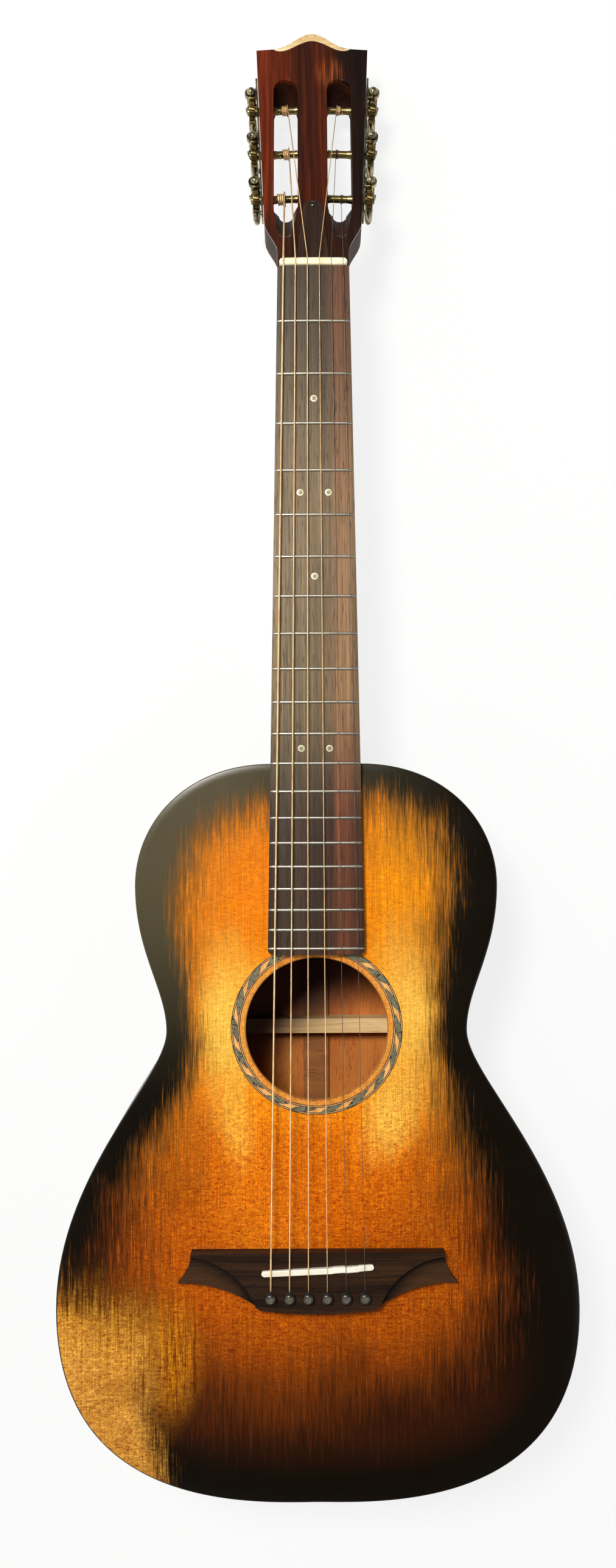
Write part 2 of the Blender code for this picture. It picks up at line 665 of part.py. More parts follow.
def build_back_braces(parent):
    """Centre strip along the back's joint, and braces across it, notched over the strip."""
    half = BACK_STRIP_WIDTH / 2
    front = -NECK_BLOCK_LENGTH - SEAT
    rear = -BODY_LENGTH + SIDE_THICKNESS + 2 * SEAT + TAIL_BLOCK_LENGTH
    corners = [(-half, front), (half, front), (half, rear), (-half, rear)]
    low = [(x, y, back_inside(x, y)) for x, y in corners]
    high = [(x, y, z + BACK_STRIP_THICKNESS) for x, y, z in low]
    add_solid("back_strip", loft([low, high]), parent, "brace_spruce")

    notch = half + SEAT
    for number, place in enumerate(BACK_BRACE_AT, start=1):
        rings = []
        near, far = -place + BACK_BRACE_WIDTH / 2, -place - BACK_BRACE_WIDTH / 2
        reach = min(body_half_at(near), body_half_at(far)) - SEAT
        foot = [-reach, -(reach + BACK_FLAT_HALF) / 2, -BACK_FLAT_HALF]
        slope = min(BRACE_END_SLOPE, reach / 3)
        for y in (near, far):
            ring = [(x, y, back_inside(x, y)) for x in foot]
            ring += [(-notch, y, back_inside(0, y))]
            ring += [(-notch, y, back_inside(0, y) + BACK_STRIP_THICKNESS + SEAT)]
            ring += [(-x, y, z) for x, y, z in reversed(ring)]
            ring += [(reach, y, back_inside(reach, y) + BRACE_TIP)]
            ring += [(reach - slope, y, back_inside(0, y) + BACK_BRACE_HEIGHT)]
            ring += [(-reach + slope, y, back_inside(0, y) + BACK_BRACE_HEIGHT)]
            ring += [(-reach, y, back_inside(reach, y) + BRACE_TIP)]
            rings.append(ring)
        add_solid("back_brace_%d" % number, loft(rings), parent, "brace_spruce")


def pin_x(index):
    """Place of a bridge pin across the bridge."""
    return PIN_SPACING * (index - (STRING_COUNT - 1) / 2)


def make_pin_holes(parent):
    """One tool with the six pin bores."""
    shape = bmesh.new()
    low = -TOP_THICKNESS - BRIDGE_PLATE_THICKNESS - 2 * BRIDGE_HEIGHT
    for index in range(STRING_COUNT):
        turned([(low, PIN_HOLE_RADIUS), (2 * BRIDGE_HEIGHT, PIN_HOLE_RADIUS)], sides=8,
               center=(pin_x(index), PIN_Y, 0), shape=shape)
    return add_solid("pin_hole_cutter", shape, parent)


def bridge_outline():
    """Bow-tie outline: straight front edge, hollow ends and hollow lower edges."""
    front, tip = Vector((BRIDGE_TOP_HALF, 0)), Vector((BRIDGE_HALF, -BRIDGE_TIP_DROP))
    belly = Vector((BRIDGE_BELLY_HALF, -BRIDGE_DEPTH + BRIDGE_BELLY_RISE))
    right = arc_between(front, tip, -BRIDGE_END_BOW, 4)
    right += arc_between(tip, belly, -BRIDGE_LOWER_BOW, 7)[1:]
    right += arc_between(belly, (0, -BRIDGE_DEPTH), BRIDGE_BELLY_BOW, 3)[1:]
    left = [Vector((-p.x, p.y)) for p in right[:-1]]
    return right + left[::-1]


def build_bridge(parent, pin_holes):
    """Bridge with scooped wings, saddle slot, pin holes and string slots."""
    outline = [(p.x, p.y + BRIDGE_Y) for p in bridge_outline()]
    bridge = add_solid("bridge", prism(outline, SEAT, BRIDGE_HEIGHT), parent, "rosewood")
    for name, sign in SIDES.items():
        center = (sign * (BRIDGE_HALF - WING_SCOOP_IN), BRIDGE_Y - WING_SCOOP_BACK, BRIDGE_WING_HEIGHT)
        scoop = turned([(0, WING_SCOOP_RADIUS), (2 * BRIDGE_HEIGHT, WING_SCOOP_RADIUS)], sides=48)
        scoop = add_solid("wing_scoop_cutter_" + name, scoop, parent, location=center)
        scoop.rotation_euler = (0, sign * WING_SCOOP_SLOPE, 0)
        combine(bridge, scoop, "DIFFERENCE")
    slot_half, slot_wide = SADDLE_LENGTH / 2 + SEAT, SADDLE_THICKNESS / 2 + SEAT
    slot = block((-slot_half, -slot_wide, BRIDGE_HEIGHT - SADDLE_SLOT_DEPTH),
                 (slot_half, slot_wide, 2 * BRIDGE_HEIGHT))
    slot = add_solid("saddle_slot_cutter", slot, parent, location=(0, SADDLE_Y, 0), turn=SADDLE_SLANT)
    combine(bridge, slot, "DIFFERENCE")
    combine(bridge, pin_holes, "DIFFERENCE")
    shape = bmesh.new()
    for index, diameter in enumerate(STRING_DIAMETERS):
        half = diameter / 2 + SEAT
        front = string_slot_front(index) + half
        x = pin_x(index)
        block((x - half, PIN_Y, -BRIDGE_HEIGHT), (x + half, front, 2 * BRIDGE_HEIGHT), shape)
    combine(bridge, add_solid("string_slot_cutter", shape, parent), "DIFFERENCE")

    half = SADDLE_LENGTH / 2
    foot = BRIDGE_HEIGHT - SADDLE_SLOT_DEPTH + SEAT
    crest = []
    for index in range(STRING_COUNT):
        point = string_at_saddle(index)
        crest.append((point.x / math.cos(SADDLE_SLANT), point.z - STRING_DIAMETERS[index] / 2 - SEAT))
    end_drop = 1.6 * MM
    profile = [(-half, foot), (half, foot), (half, crest[-1][1] - end_drop)]
    profile += list(reversed(crest)) + [(-half, crest[0][1] - end_drop)]
    rings = [[(x, side * SADDLE_THICKNESS / 2, z) for x, z in profile] for side in (-1, 1)]
    add_solid("saddle", loft(rings), parent, "bone", location=(0, SADDLE_Y, 0), turn=SADDLE_SLANT)


def string_slot_front(index):
    """Where a string dives into the bridge, just in front of its pin's head."""
    return PIN_Y + PIN_HEAD_RADIUS + SEAT + STRING_DIAMETERS[index] / 2


def build_pins(parent):
    """Six tapered bridge pins with domed heads."""
    top = BRIDGE_HEIGHT + SEAT
    profile = [
        (top + PIN_HEAD_HEIGHT, PIN_HEAD_RADIUS * 0.55),
        (top + PIN_HEAD_HEIGHT * 0.8, PIN_HEAD_RADIUS * 0.9),
        (top + PIN_HEAD_HEIGHT * 0.45, PIN_HEAD_RADIUS),
        (top + PIN_HEAD_HEIGHT * 0.12, PIN_HEAD_RADIUS * 0.82),
        (top, PIN_HEAD_RADIUS * 0.9),
        (top, PIN_SHAFT_RADIUS),
        (top - PIN_LENGTH, PIN_SHAFT_RADIUS * 0.75),
    ]
    for index in range(STRING_COUNT):
        add_solid("bridge_pin_%d" % (index + 1), turned(profile, sides=8), parent, "black_pin",
                  location=(pin_x(index), PIN_Y, 0))


def build_fretboard(parent):
    """Radiused fretboard with its frets, rounded at the body end."""
    across = [-1, -0.4, 0.4, 1]
    top = fretboard_top()
    stations = [(NUT_Y, 0.0, 1.0)]
    for number in range(1, FRET_COUNT + 1):
        y = fret_y(number)
        stations += [(y + FRET_WIDTH / 2, 0.0, 1.0), (y + FRET_CROWN / 2, FRET_HEIGHT, 1.0)]
        stations += [(y - FRET_CROWN / 2, FRET_HEIGHT, 1.0), (y - FRET_WIDTH / 2, 0.0, 1.0)]
    corner = min(FRETBOARD_CORNER, FRETBOARD_OVERHANG - FRET_WIDTH / 2)
    for step in range(5):
        angle = math.pi / 2 * step / 4
        width = 1 - corner * (1 - math.cos(angle)) / fretboard_half(FRETBOARD_END)
        stations.append((FRETBOARD_END + corner * (1 - math.sin(angle)), 0.0, width))
    rings = []
    for y, lift, width in stations:
        half = fretboard_half(y) * width
        ring = [(-half, y, SEAT), (half, y, SEAT)]
        ring += [(share * half, y, crowned(top, share * half) + lift) for share in reversed(across)]
        rings.append(ring)
    add_solid("fretboard", loft(rings), parent, "rosewood")


def build_nut(parent):
    """Bone nut with a slot for each string."""
    half = NUT_WIDTH / 2
    rest = fretboard_top() + FRET_HEIGHT
    profile = [(-half, SEAT), (half, SEAT), (half, crowned(rest, half))]
    for index in reversed(range(STRING_COUNT)):
        point = string_at_nut(index)
        radius = STRING_DIAMETERS[index] / 2
        wide = radius + SEAT
        bottom = point.z - radius - SEAT
        profile += [(point.x + wide, point.z), (point.x + wide, bottom)]
        profile += [(point.x - wide, bottom), (point.x - wide, point.z)]
    profile.append((-half, crowned(rest, half)))
    rings = [[(x, y, z) for x, z in profile] for y in (NUT_Y + SEAT, HEAD_Y)]
    add_solid("nut", loft(rings), parent, "bone")


def neck_section(half, depth, top, steps=8):
    """A D-shaped section as (across, height) points."""
    points = []
    for i in range(steps + 1):
        angle = math.pi * i / steps
        squareness = 0.78
        across = math.copysign(abs(math.cos(angle)) ** squareness, math.cos(angle))
        points.append((half * across, top - depth * math.sin(angle) ** squareness))
    return points


def head_outline():
    """The headstock's outline: shoulders, widening sides and a low crest."""
    neck_half = fretboard_half(HEAD_Y)
    right = [Vector((neck_half, SEAT))]
    steps = 6
    for i in range(steps + 1):
        t = i / steps
        sweep = (1 - math.cos(math.pi * t)) / 2
        y = HEAD_SHOULDER_START + (HEAD_SHOULDER_END - HEAD_SHOULDER_START) * t
        right.append(Vector((neck_half + (HEAD_SHOULDER_HALF - neck_half) * sweep, y)))
    right.append(Vector((HEAD_CORNER_HALF, HEAD_CORNER_AT)))
    steps = 8
    for i in range(1, steps + 1):
        share = 1 - i / steps
        bump = (1 + math.cos(math.pi * min(1, share * 1.5))) / 2
        rise = (HEAD_CREST_AT - HEAD_CORNER_AT - CREST_SHOULDER) * bump
        y = HEAD_CORNER_AT + CREST_SHOULDER * (1 - share) + rise
        right.append(Vector((HEAD_CORNER_HALF * share, y)))
    left = [Vector((-p.x, p.y)) for p in right[:-1]]
    return right + left[::-1]


def slot_ring(sign, start, taper_end, end, z):
    """A slot's outline at one height: a narrow round start, a taper and a full round end."""
    half = SLOT_WIDTH / 2
    points = []
    tip = (end - half, 0.0, half)
    mouth = (start + SLOT_START_RADIUS, math.pi, SLOT_START_RADIUS)
    for center, turn, radius in (tip, mouth):
        for i in range(7):
            angle = turn + math.pi * i / 6
            x = sign * SLOT_CENTER + radius * math.cos(angle)
            points.append((x, center + radius * math.sin(angle), z))
        points.append((sign * SLOT_CENTER + half * math.cos(angle), taper_end, z))
    return points


def make_slot_cutter(head):
    """Both string slots, longer on the face than on the back so that their ends slope."""
    shape = bmesh.new()
    margin = 2 * MM
    reach = margin / HEAD_THICKNESS
    face_places = (SLOT_FACE_START, SLOT_FACE_TAPER_END, SLOT_FACE_END)
    back_places = (SLOT_BACK_START, SLOT_BACK_TAPER_END, SLOT_BACK_END)
    above = [f + (f - b) * reach for f, b in zip(face_places, back_places)]
    below = [b + (b - f) * reach for f, b in zip(face_places, back_places)]
    for sign in SIDES.values():
        face = slot_ring(sign, *above, margin)
        back = slot_ring(sign, *below, -HEAD_THICKNESS - margin)
        loft([back, face], shape)
    return add_solid("slot_cutter", shape, head)


def build_neck(parent, head, slots, channel, post_bores):
    """Neck shaft, heel, tenon and slotted headstock in one piece."""
    to_guitar = head.matrix_basis
    rings = []
    for share in (0.0, 0.3, 0.65):
        y = SEAT + (HEAD_Y - SEAT) * share
        depth = NECK_DEPTH_BODY + (NECK_DEPTH_NUT - NECK_DEPTH_BODY) * share
        rings.append([(x, y, z) for x, z in neck_section(fretboard_half(y), depth, 0)])
    nut_half = fretboard_half(HEAD_Y)
    sunk = HEAD_CORE_TOP - SEAT
    volute = (
        (0.0, NECK_DEPTH_NUT, 0.0),
        (SEAT / 3, NECK_DEPTH_NUT, sunk),
        (VOLUTE_LENGTH / 3, HEAD_THICKNESS - 1.2 * MM, sunk),
        (VOLUTE_LENGTH, HEAD_THICKNESS - SEAT, sunk),
    )
    for along, bottom, top in volute:
        section = neck_section(nut_half, bottom + top, top)
        rings.append([to_guitar @ Vector((x, along, z)) for x, z in section])
    neck = add_solid("neck", loft(rings), parent, "dark_mahogany")

    heel_rings = []
    heel_bottom = DEPTH_NECK - BACK_THICKNESS
    top_inset = NECK_DEPTH_BODY * 0.4
    steps = 9
    for i in range(steps + 1):
        drop = top_inset + (heel_bottom - top_inset) * i / steps
        below = drop - top_inset
        length = HEEL_CAP_LENGTH + (HEEL_LENGTH - HEEL_CAP_LENGTH) * math.exp(-below / HEEL_COVE)
        share = below / (heel_bottom - top_inset)
        half = HEEL_CAP_HALF + (fretboard_half(0) * 0.93 - HEEL_CAP_HALF) * (1 - share) ** 1.5
        ring = neck_section(half, length - SEAT, 0, steps=8)
        heel_rings.append([(x, SEAT - y, -drop) for x, y in ring])
    combine(neck, add_solid("heel_lump", loft(heel_rings), parent), "UNION")

    tenon = block((-TENON_HALF, -TENON_LENGTH, -TENON_BOTTOM),
                  (TENON_HALF, HEEL_CAP_LENGTH / 2, -TENON_TOP))
    combine(neck, add_solid("tenon_lump", tenon, parent), "UNION")

    core = prism(head_outline(), -HEAD_THICKNESS, HEAD_CORE_TOP)
    combine(neck, add_solid("head_lump", core, head), "UNION")
    for cutter in [slots, channel] + post_bores:
        combine(neck, cutter, "DIFFERENCE")


def build_headplate(head, slots, channel):
    """Glossy veneer on the headstock's face, and the little cover over the truss rod's end."""
    plate = prism(head_outline(), -HEADPLATE_THICKNESS, 0)
    plate = add_solid("headplate", plate, head, "head_veneer")
    combine(plate, slots, "DIFFERENCE")
    combine(plate, channel, "DIFFERENCE")

    tip = TRUSS_COVER_TIP_HALF
    right = [Vector((TRUSS_COVER_HALF, 2 * SEAT))]
    for i in range(6):
        angle = math.pi / 2 * i / 5
        right.append(Vector((tip * math.cos(angle), TRUSS_COVER_LENGTH - tip + tip * math.sin(angle))))
    left = [Vector((-p.x, p.y)) for p in right[:-1]]
    cover = prism(right + left[::-1], SEAT, SEAT + TRUSS_COVER_THICKNESS)
    add_solid("truss_rod_cover", cover, head, "head_veneer")


def build_truss_rod(parent):
    """Steel rod in the neck's channel, with its adjusting nut under the cover."""
    middle = -TRUSS_CHANNEL_DEPTH + TRUSS_NUT_RADIUS + 2 * SEAT
    end = HEAD_Y + TRUSS_NUT_REACH
    profile = [(TRUSS_START, TRUSS_ROD_RADIUS), (HEAD_Y, TRUSS_ROD_RADIUS), (HEAD_Y, TRUSS_NUT_RADIUS),
               (end, TRUSS_NUT_RADIUS)]
    rod = turned(profile, axis="Y", sides=6, center=(0, 0, middle))
    add_solid("truss_rod", rod, parent, "steel_rod")


def make_channel_cutter(parent):
    """The truss rod's channel, which runs out on the head's face."""
    run_out = TRUSS_CHANNEL_DEPTH / math.tan(HEAD_TILT)
    channel = block((-TRUSS_CHANNEL_HALF, TRUSS_START - 2 * SEAT, -TRUSS_CHANNEL_DEPTH),
                    (TRUSS_CHANNEL_HALF, HEAD_Y + run_out, TRUSS_CHANNEL_DEPTH))
    return add_solid("truss_channel_cutter", channel, parent)


def slot_wall(along, inner):
    """Distance from a head side's face in to its slot's outer or inner wall."""
    side = HEAD_SIDE_ORIGIN + HEAD_SIDE_SLOPE * along
    wall = SLOT_CENTER + (-1 if inner else 1) * SLOT_WIDTH / 2
    return (side - wall) * math.cos(HEAD_SIDE_ANGLE)


def make_post_bores(axes):
    """Bores for the posts: through the cheek, and a blind journal in the centre rail."""
    cutters = []
    for name, sign in SIDES.items():
        shape = bmesh.new()
        for along in POSTS_AT:
            cheek = slot_wall(along, False)
            rail = slot_wall(along, True)
            shaft = CHEEK_SHAFT_RADIUS + SEAT
            journal = POST_JOURNAL_RADIUS + SEAT
            middle = -sign * (cheek + rail) / 2
            profile = [(sign * 2 * MM, shaft), (middle, shaft), (middle, journal),
                       (-sign * (rail + POST_JOURNAL_LENGTH + SEAT), journal)]
            turned(profile, axis="X", sides=10, center=(0, along, -POST_DEPTH), shape=shape)
        cutters.append(add_solid("post_bore_cutter_" + name, shape, axes[name]))
    return cutters


def plate_outline():
    """A machine plate's outline along the head's side, scalloped between the machines."""
    start = POSTS_AT[0] - PLATE_MARGIN
    end = POSTS_AT[-1] + PLATE_MARGIN + WORM_OFFSET
    steps = 20
    upper = []
    for i in range(steps + 1):
        y = start + (end - start) * i / steps
        wave = math.cos(2 * math.pi * (y - POSTS_AT[0] - WORM_OFFSET / 2) / (POSTS_AT[1] - POSTS_AT[0]))
        upper.append((y, PLATE_HALF_HEIGHT - PLATE_SCALLOP * (1 - wave) / 2))
    return upper + [(y, -z) for y, z in reversed(upper)]


def ear_reach():
    """Distance from a worm's middle to its ears, past both the thread and the worm wheel's rim."""
    rim = GEAR_RADIUS + TOOTH_ADDENDUM
    near = WORM_OFFSET - EAR_HALF_WIDTH
    wheel = math.sqrt(max(0.0, rim * rim - near * near)) + 2 * SEAT
    thread = THREAD_PITCH * (WORM_TURNS + 1) / 2
    return max(wheel, thread)


def build_plates(axes):
    """Two side plates, each with three pairs of ears that hold the worm shafts."""
    for name, sign in SIDES.items():
        axis = axes[name]
        rings = []
        for x in (SEAT, SEAT + PLATE_THICKNESS):
            rings.append([(sign * x, y, -POST_DEPTH + z) for y, z in plate_outline()])
        plate = add_solid("tuner_plate_" + name, loft(rings), axis, "aged_brass")
        ears = bmesh.new()
        bores = bmesh.new()
        posts = bmesh.new()
        reach = ear_reach()
        for along in POSTS_AT:
            center = along + WORM_OFFSET
            for level in (reach, -reach - EAR_THICKNESS):
                low = -POST_DEPTH + level
                ear = []
                for i in range(5):
                    angle = -math.pi / 2 + math.pi * i / 4
                    out = EAR_HALF_WIDTH * math.cos(angle)
                    ear.append((GEAR_PLANE + out, EAR_HALF_WIDTH * math.sin(angle)))
                ear = [(SEAT + PLATE_THICKNESS / 2, -EAR_HALF_WIDTH)] + ear
                ear += [(SEAT + PLATE_THICKNESS / 2, EAR_HALF_WIDTH)]
                prism([(sign * x, center + y) for x, y in ear], low, low + EAR_THICKNESS, ears)
            turned([(-EAR_HEIGHT * 2, SHAFT_RADIUS + SEAT), (EAR_HEIGHT * 2, SHAFT_RADIUS + SEAT)], sides=8,
                   center=(sign * GEAR_PLANE, center, -POST_DEPTH), shape=bores)
            turned([(-GEAR_PLANE, CHEEK_SHAFT_RADIUS + SEAT), (GEAR_PLANE, CHEEK_SHAFT_RADIUS + SEAT)],
                   axis="X", sides=10, center=(0, along, -POST_DEPTH), shape=posts)
        combine(plate, add_solid("ear_lump_" + name, ears, axis), "UNION")
        combine(plate, add_solid("ear_bore_cutter_" + name, bores, axis), "DIFFERENCE")
        combine(plate, add_solid("plate_bore_cutter_" + name, posts, axis), "DIFFERENCE")


def gear_shape():
    """Worm wheel about x: straight-flanked teeth, twisted to follow the worm's lead, a gap facing +y."""
    half_pitch_tooth = (THREAD_PITCH - TOOTH_BACKLASH) / 4
    flank = math.tan(PRESSURE_ANGLE)
    tip_radius, root_radius = GEAR_RADIUS + TOOTH_ADDENDUM, GEAR_RADIUS - TOOTH_DEDENDUM
    tip = (half_pitch_tooth - TOOTH_ADDENDUM * flank) / tip_radius
    root = (half_pitch_tooth + TOOTH_DEDENDUM * flank) / root_radius
    rings = []
    for x in (-GEAR_FACE / 2, GEAR_FACE / 2):
        twist = x * LEAD_SLOPE / GEAR_RADIUS
        ring = []
        for tooth in range(GEAR_TEETH):
            middle = (tooth + 0.5) * 2 * math.pi / GEAR_TEETH + twist
            corners = ((-root, root_radius), (-tip, tip_radius), (tip, tip_radius), (root, root_radius))
            for offset, radius in corners:
                angle = middle + offset
                ring.append((x, radius * math.cos(angle), radius * math.sin(angle)))
        rings.append(ring)
    return loft(rings)


def build_rollers(axes):
    """Six string posts, each with its worm wheel outside the plate."""
    for name, number, sign, along in machines():
        cheek = slot_wall(along, False)
        rail = slot_wall(along, True)
        face = GEAR_FACE / 2
        plate_top = GEAR_PLANE - PLATE_THICKNESS - 2 * SEAT
        profile = [
            (face + POST_SCREW_HEIGHT, POST_SCREW_RADIUS * 0.7),
            (face + POST_SCREW_HEIGHT * 0.6, POST_SCREW_RADIUS),
            (face - SEAT, POST_SCREW_RADIUS),
            (-plate_top, GEAR_HUB_RADIUS),
            (-plate_top, CHEEK_SHAFT_RADIUS),
            (-GEAR_PLANE - cheek - POST_COLLAR_LENGTH / 2, CHEEK_SHAFT_RADIUS),
            (-GEAR_PLANE - cheek - POST_COLLAR_LENGTH, POST_RADIUS),
            (-GEAR_PLANE - rail + POST_COLLAR_LENGTH, POST_RADIUS),
            (-GEAR_PLANE - rail + POST_COLLAR_LENGTH / 2, CHEEK_SHAFT_RADIUS),
            (-GEAR_PLANE - rail + SEAT, CHEEK_SHAFT_RADIUS),
            (-GEAR_PLANE - rail + SEAT, POST_JOURNAL_RADIUS),
            (-GEAR_PLANE - rail - POST_JOURNAL_LENGTH, POST_JOURNAL_RADIUS),
        ]
        shaft = turned([(sign * distance, radius) for distance, radius in profile], axis="X", sides=10)
        place = (sign * GEAR_PLANE, along, -POST_DEPTH)
        roller = add_solid("tuner_post_%d" % number, shaft, axes[name], "aged_brass", location=place)
        gear = add_solid("gear_lump_%d" % number, gear_shape(), axes[name], location=place)
        combine(roller, gear, "UNION")


def machines():
    """Each machine as (side, number, sign, place): 1 to 3 on the bass side, 4 to 6 on the treble side."""
    rows = []
    for name, sign in SIDES.items():
        for slot, along in enumerate(POSTS_AT):
            number = slot + 1 if name == "bass" else STRING_COUNT - slot
            rows.append((name, number, sign, along))
    return rows


def worm_shape():
    """A single right-hand thread about z whose middle crest faces -y at z = 0."""
    half = (THREAD_PITCH - TOOTH_BACKLASH) / 4
    flank = math.tan(PRESSURE_ANGLE)
    buried = SHAFT_RADIUS - 0.4 * MM
    count = round(WORM_TURNS * WORM_STEPS)
    rings = []
    for i in range(count + 1):
        turn = 2 * math.pi * (i - count / 2) / WORM_STEPS
        angle = turn - math.pi / 2
        z = THREAD_PITCH * turn / (2 * math.pi)
        fade = min(1.0, (min(i, count - i) + 1) / 4)
        crest = SHAFT_RADIUS + (WORM_RADIUS - SHAFT_RADIUS) * fade
        wide = half + (WORM_PITCH_RADIUS - buried) * flank
        narrow = half - TOOTH_ADDENDUM * flank
        ring = []
        for radius, offset in ((buried, -wide), (crest, -narrow), (crest, narrow), (buried, wide)):
            ring.append((radius * math.cos(angle), radius * math.sin(angle), z + offset))
        rings.append(ring)
    return loft(rings)


def build_keys(axes):
    """Six worm shafts, each with a front knob and a flat oval metal button."""
    front = ear_reach() + EAR_THICKNESS + SEAT
    sections = [
        (front + FRONT_KNOB_LENGTH, 0.45, 0.45),
        (front + FRONT_KNOB_LENGTH * 0.8, 0.85, 0.85),
        (front + FRONT_KNOB_LENGTH * 0.4, 1.0, 1.0),
        (front, 0.8, 0.8),
    ]
    sections = [(z, a * FRONT_KNOB_RADIUS, b * FRONT_KNOB_RADIUS) for z, a, b in sections]
    stem = SHAFT_RADIUS
    sections += [(front, stem, stem), (-BUTTON_START, stem, stem)]
    for share, thick, wide in ((0.05, 0.8, 0.35), (0.25, 1.0, 0.86), (0.5, 1.0, 1.0), (0.78, 0.95, 0.86),
                               (0.95, 0.7, 0.5), (1.0, 0.35, 0.25)):
        z = -BUTTON_START - share * BUTTON_LENGTH
        sections.append((z, thick * BUTTON_HALF_THICKNESS, wide * BUTTON_HALF_WIDTH))
    rings = []
    sides = 8
    for z, across, along in sections:
        angles = [2 * math.pi * i / sides for i in range(sides)]
        rings.append([(across * math.cos(a), along * math.sin(a), z) for a in angles])
    for name, number, sign, along in machines():
        place = (sign * GEAR_PLANE, along + WORM_OFFSET, -POST_DEPTH)
        key = add_solid("tuner_key_%d" % number, loft(rings), axes[name], "aged_brass", location=place)
        worm = add_solid("worm_lump_%d" % number, worm_shape(), axes[name], location=place)
        combine(key, worm, "UNION")


def tube(name, points, radius, parent, finish):
    """A round wire through points, with closed ends."""
    curve = bpy.data.curves.new(name, "CURVE")
    curve.dimensions = "3D"
    curve.bevel_depth = radius
    curve.bevel_resolution = 1
    curve.use_fill_caps = True
    spline = curve.splines.new("POLY")
    spline.points.add(len(points) - 1)
    for target, point in zip(spline.points, points):
        target.co = (*point, 1)
    curve.materials.append(material(finish))
    wire = bpy.data.objects.new(name, curve)
    wire.parent = parent
    bpy.context.collection.objects.link(wire)


def least_self_gap(points, radius):
    """Smallest distance between two turns of a coil, less its wire's diameter."""
    least = math.inf
    skip = WINDING_STEPS // 2
    for i, first in enumerate(points):
        for second in points[i + skip:]:
            least = min(least, (first - second).length)
    return least - 2 * radius


def build_strings(guitar, head, axes):
    """Six strings from the bridge over saddle and nut, and their turns round the posts."""
    for name, number, sign, along in machines():
        index = number - 1
        radius = STRING_DIAMETERS[index] / 2
        finish = "bronze_string" if index < 4 else "steel_string"
        axis = axes[name]
        to_guitar = head.matrix_basis @ axis.matrix_basis
        nut = string_at_nut(index)
        nut_back = Vector((nut.x, HEAD_Y, nut.z))
        start = to_guitar.inverted() @ nut_back

        coil = POST_RADIUS + SEAT + radius
        pitch = 2 * radius + WINDING_GAP
        entry = WINDING_ENTRY[POSTS_AT.index(along)]
        side = HEAD_SIDE_ORIGIN + HEAD_SIDE_SLOPE * along
        entry_x = -sign * (side - entry)
        post = Vector((entry_x, along, -POST_DEPTH))
        to_nut = start - post
        reach = math.hypot(to_nut.y, to_nut.z)
        touch = math.atan2(to_nut.z, to_nut.y) - math.acos(coil / reach)
        tangent = post + Vector((0, coil * math.cos(touch), coil * math.sin(touch)))
        back = (start - tangent).normalized()
        tail = math.sqrt((coil + 2 * radius + 2 * SEAT) ** 2 - coil ** 2)

        points = [tangent + back * tail, tangent + back * tail / 2]
        count = round(WINDING_LOOPS * WINDING_STEPS)
        for i in range(count + 1):
            turn = 2 * math.pi * i / WINDING_STEPS
            angle = touch - turn
            x = entry_x + sign * pitch * turn / (2 * math.pi)
            points.append(Vector((x, along + coil * math.cos(angle), -POST_DEPTH + coil * math.sin(angle))))
        last = points[-1] + (points[-1] - points[-2]).normalized() * 2 * radius
        points.append(last)
        print("winding", number, "least gap to itself, mm:", round(least_self_gap(points, radius) / MM, 3))
        tube("string_winding_%d" % number, points, radius, axis, finish)

        end = to_guitar @ (tangent + back * (tail + SEAT))
        saddle = string_at_saddle(index)
        dive_y = string_slot_front(index)
        route = [
            end,
            nut_back,
            nut,
            saddle + Vector((0, SADDLE_THICKNESS / 2, 0)),
            saddle - Vector((0, SADDLE_THICKNESS / 2, 0)),
            Vector((pin_x(index), dive_y + radius, BRIDGE_HEIGHT + 2 * radius)),
            Vector((pin_x(index), dive_y, BRIDGE_HEIGHT)),
            Vector((pin_x(index), dive_y, BRIDGE_HEIGHT / 2)),
        ]
        tube("string_%d" % number, route, radius, guitar, finish)


def build_guitar():
    """Place the three frames and build every piece in them."""
    clear_scene()
    plate_edge = Vector((0, HEAD_CREST_AT, 0))
    head_turn = Matrix.Rotation(-HEAD_TILT, 4, "X")
    crest = Matrix.Translation((0, HEAD_Y, 0)) @ head_turn @ plate_edge
    level = Matrix.Rotation(-BACK_ANGLE, 4, "X")
    pin_center = -(DEPTH_TAIL + TOP_THICKNESS - BACK_THICKNESS) / 2
    tail_low = Vector((0, -BODY_LENGTH - SEAT - END_PIN_LENGTH, pin_center - END_PIN_RADIUS * 0.55))
    middle = ((level @ crest).y + (level @ tail_low).y) / 2
    guitar = add_axis("guitar_axis", (0, -middle, DEPTH_NECK * math.cos(BACK_ANGLE)), (-BACK_ANGLE, 0, 0))
    head = add_axis("head_axis", (0, HEAD_Y, 0), (-HEAD_TILT, 0, 0), guitar)
    axes = {}
    for name, sign in SIDES.items():
        turn = (0, 0, -sign * HEAD_SIDE_ANGLE)
        axes[name] = add_axis("machine_axis_" + name, (sign * HEAD_SIDE_ORIGIN, 0, 0), turn, head)
    bpy.context.view_layer.update()

    pin_holes = make_pin_holes(guitar)
    slots = make_slot_cutter(head)
    channel = make_channel_cutter(guitar)
    build_soundboard(guitar, pin_holes)
    build_back(guitar)
    build_sides(guitar)
    build_linings(guitar)
    build_blocks(guitar)
    build_top_braces(guitar, pin_holes)
    build_back_braces(guitar)
    build_bridge(guitar, pin_holes)
    build_pins(guitar)
    build_fretboard(guitar)
    build_nut(guitar)
    build_neck(guitar, head, slots, channel, make_post_bores(axes))
    build_headplate(head, slots, channel)
    build_truss_rod(guitar)
    build_plates(axes)
    build_rollers(axes)
    build_keys(axes)
    build_strings(guitar, head, axes)


build_guitar()
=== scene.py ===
"""Looks of a slotted-head parlor guitar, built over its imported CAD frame.

The pieces are drawn in three frames that repeat the CAD's own: the guitar's, whose plane z = 0 is the
soundboard's face with y = 0 at the neck joint, the head's, and one for each row of tuning machines.
"""

import math

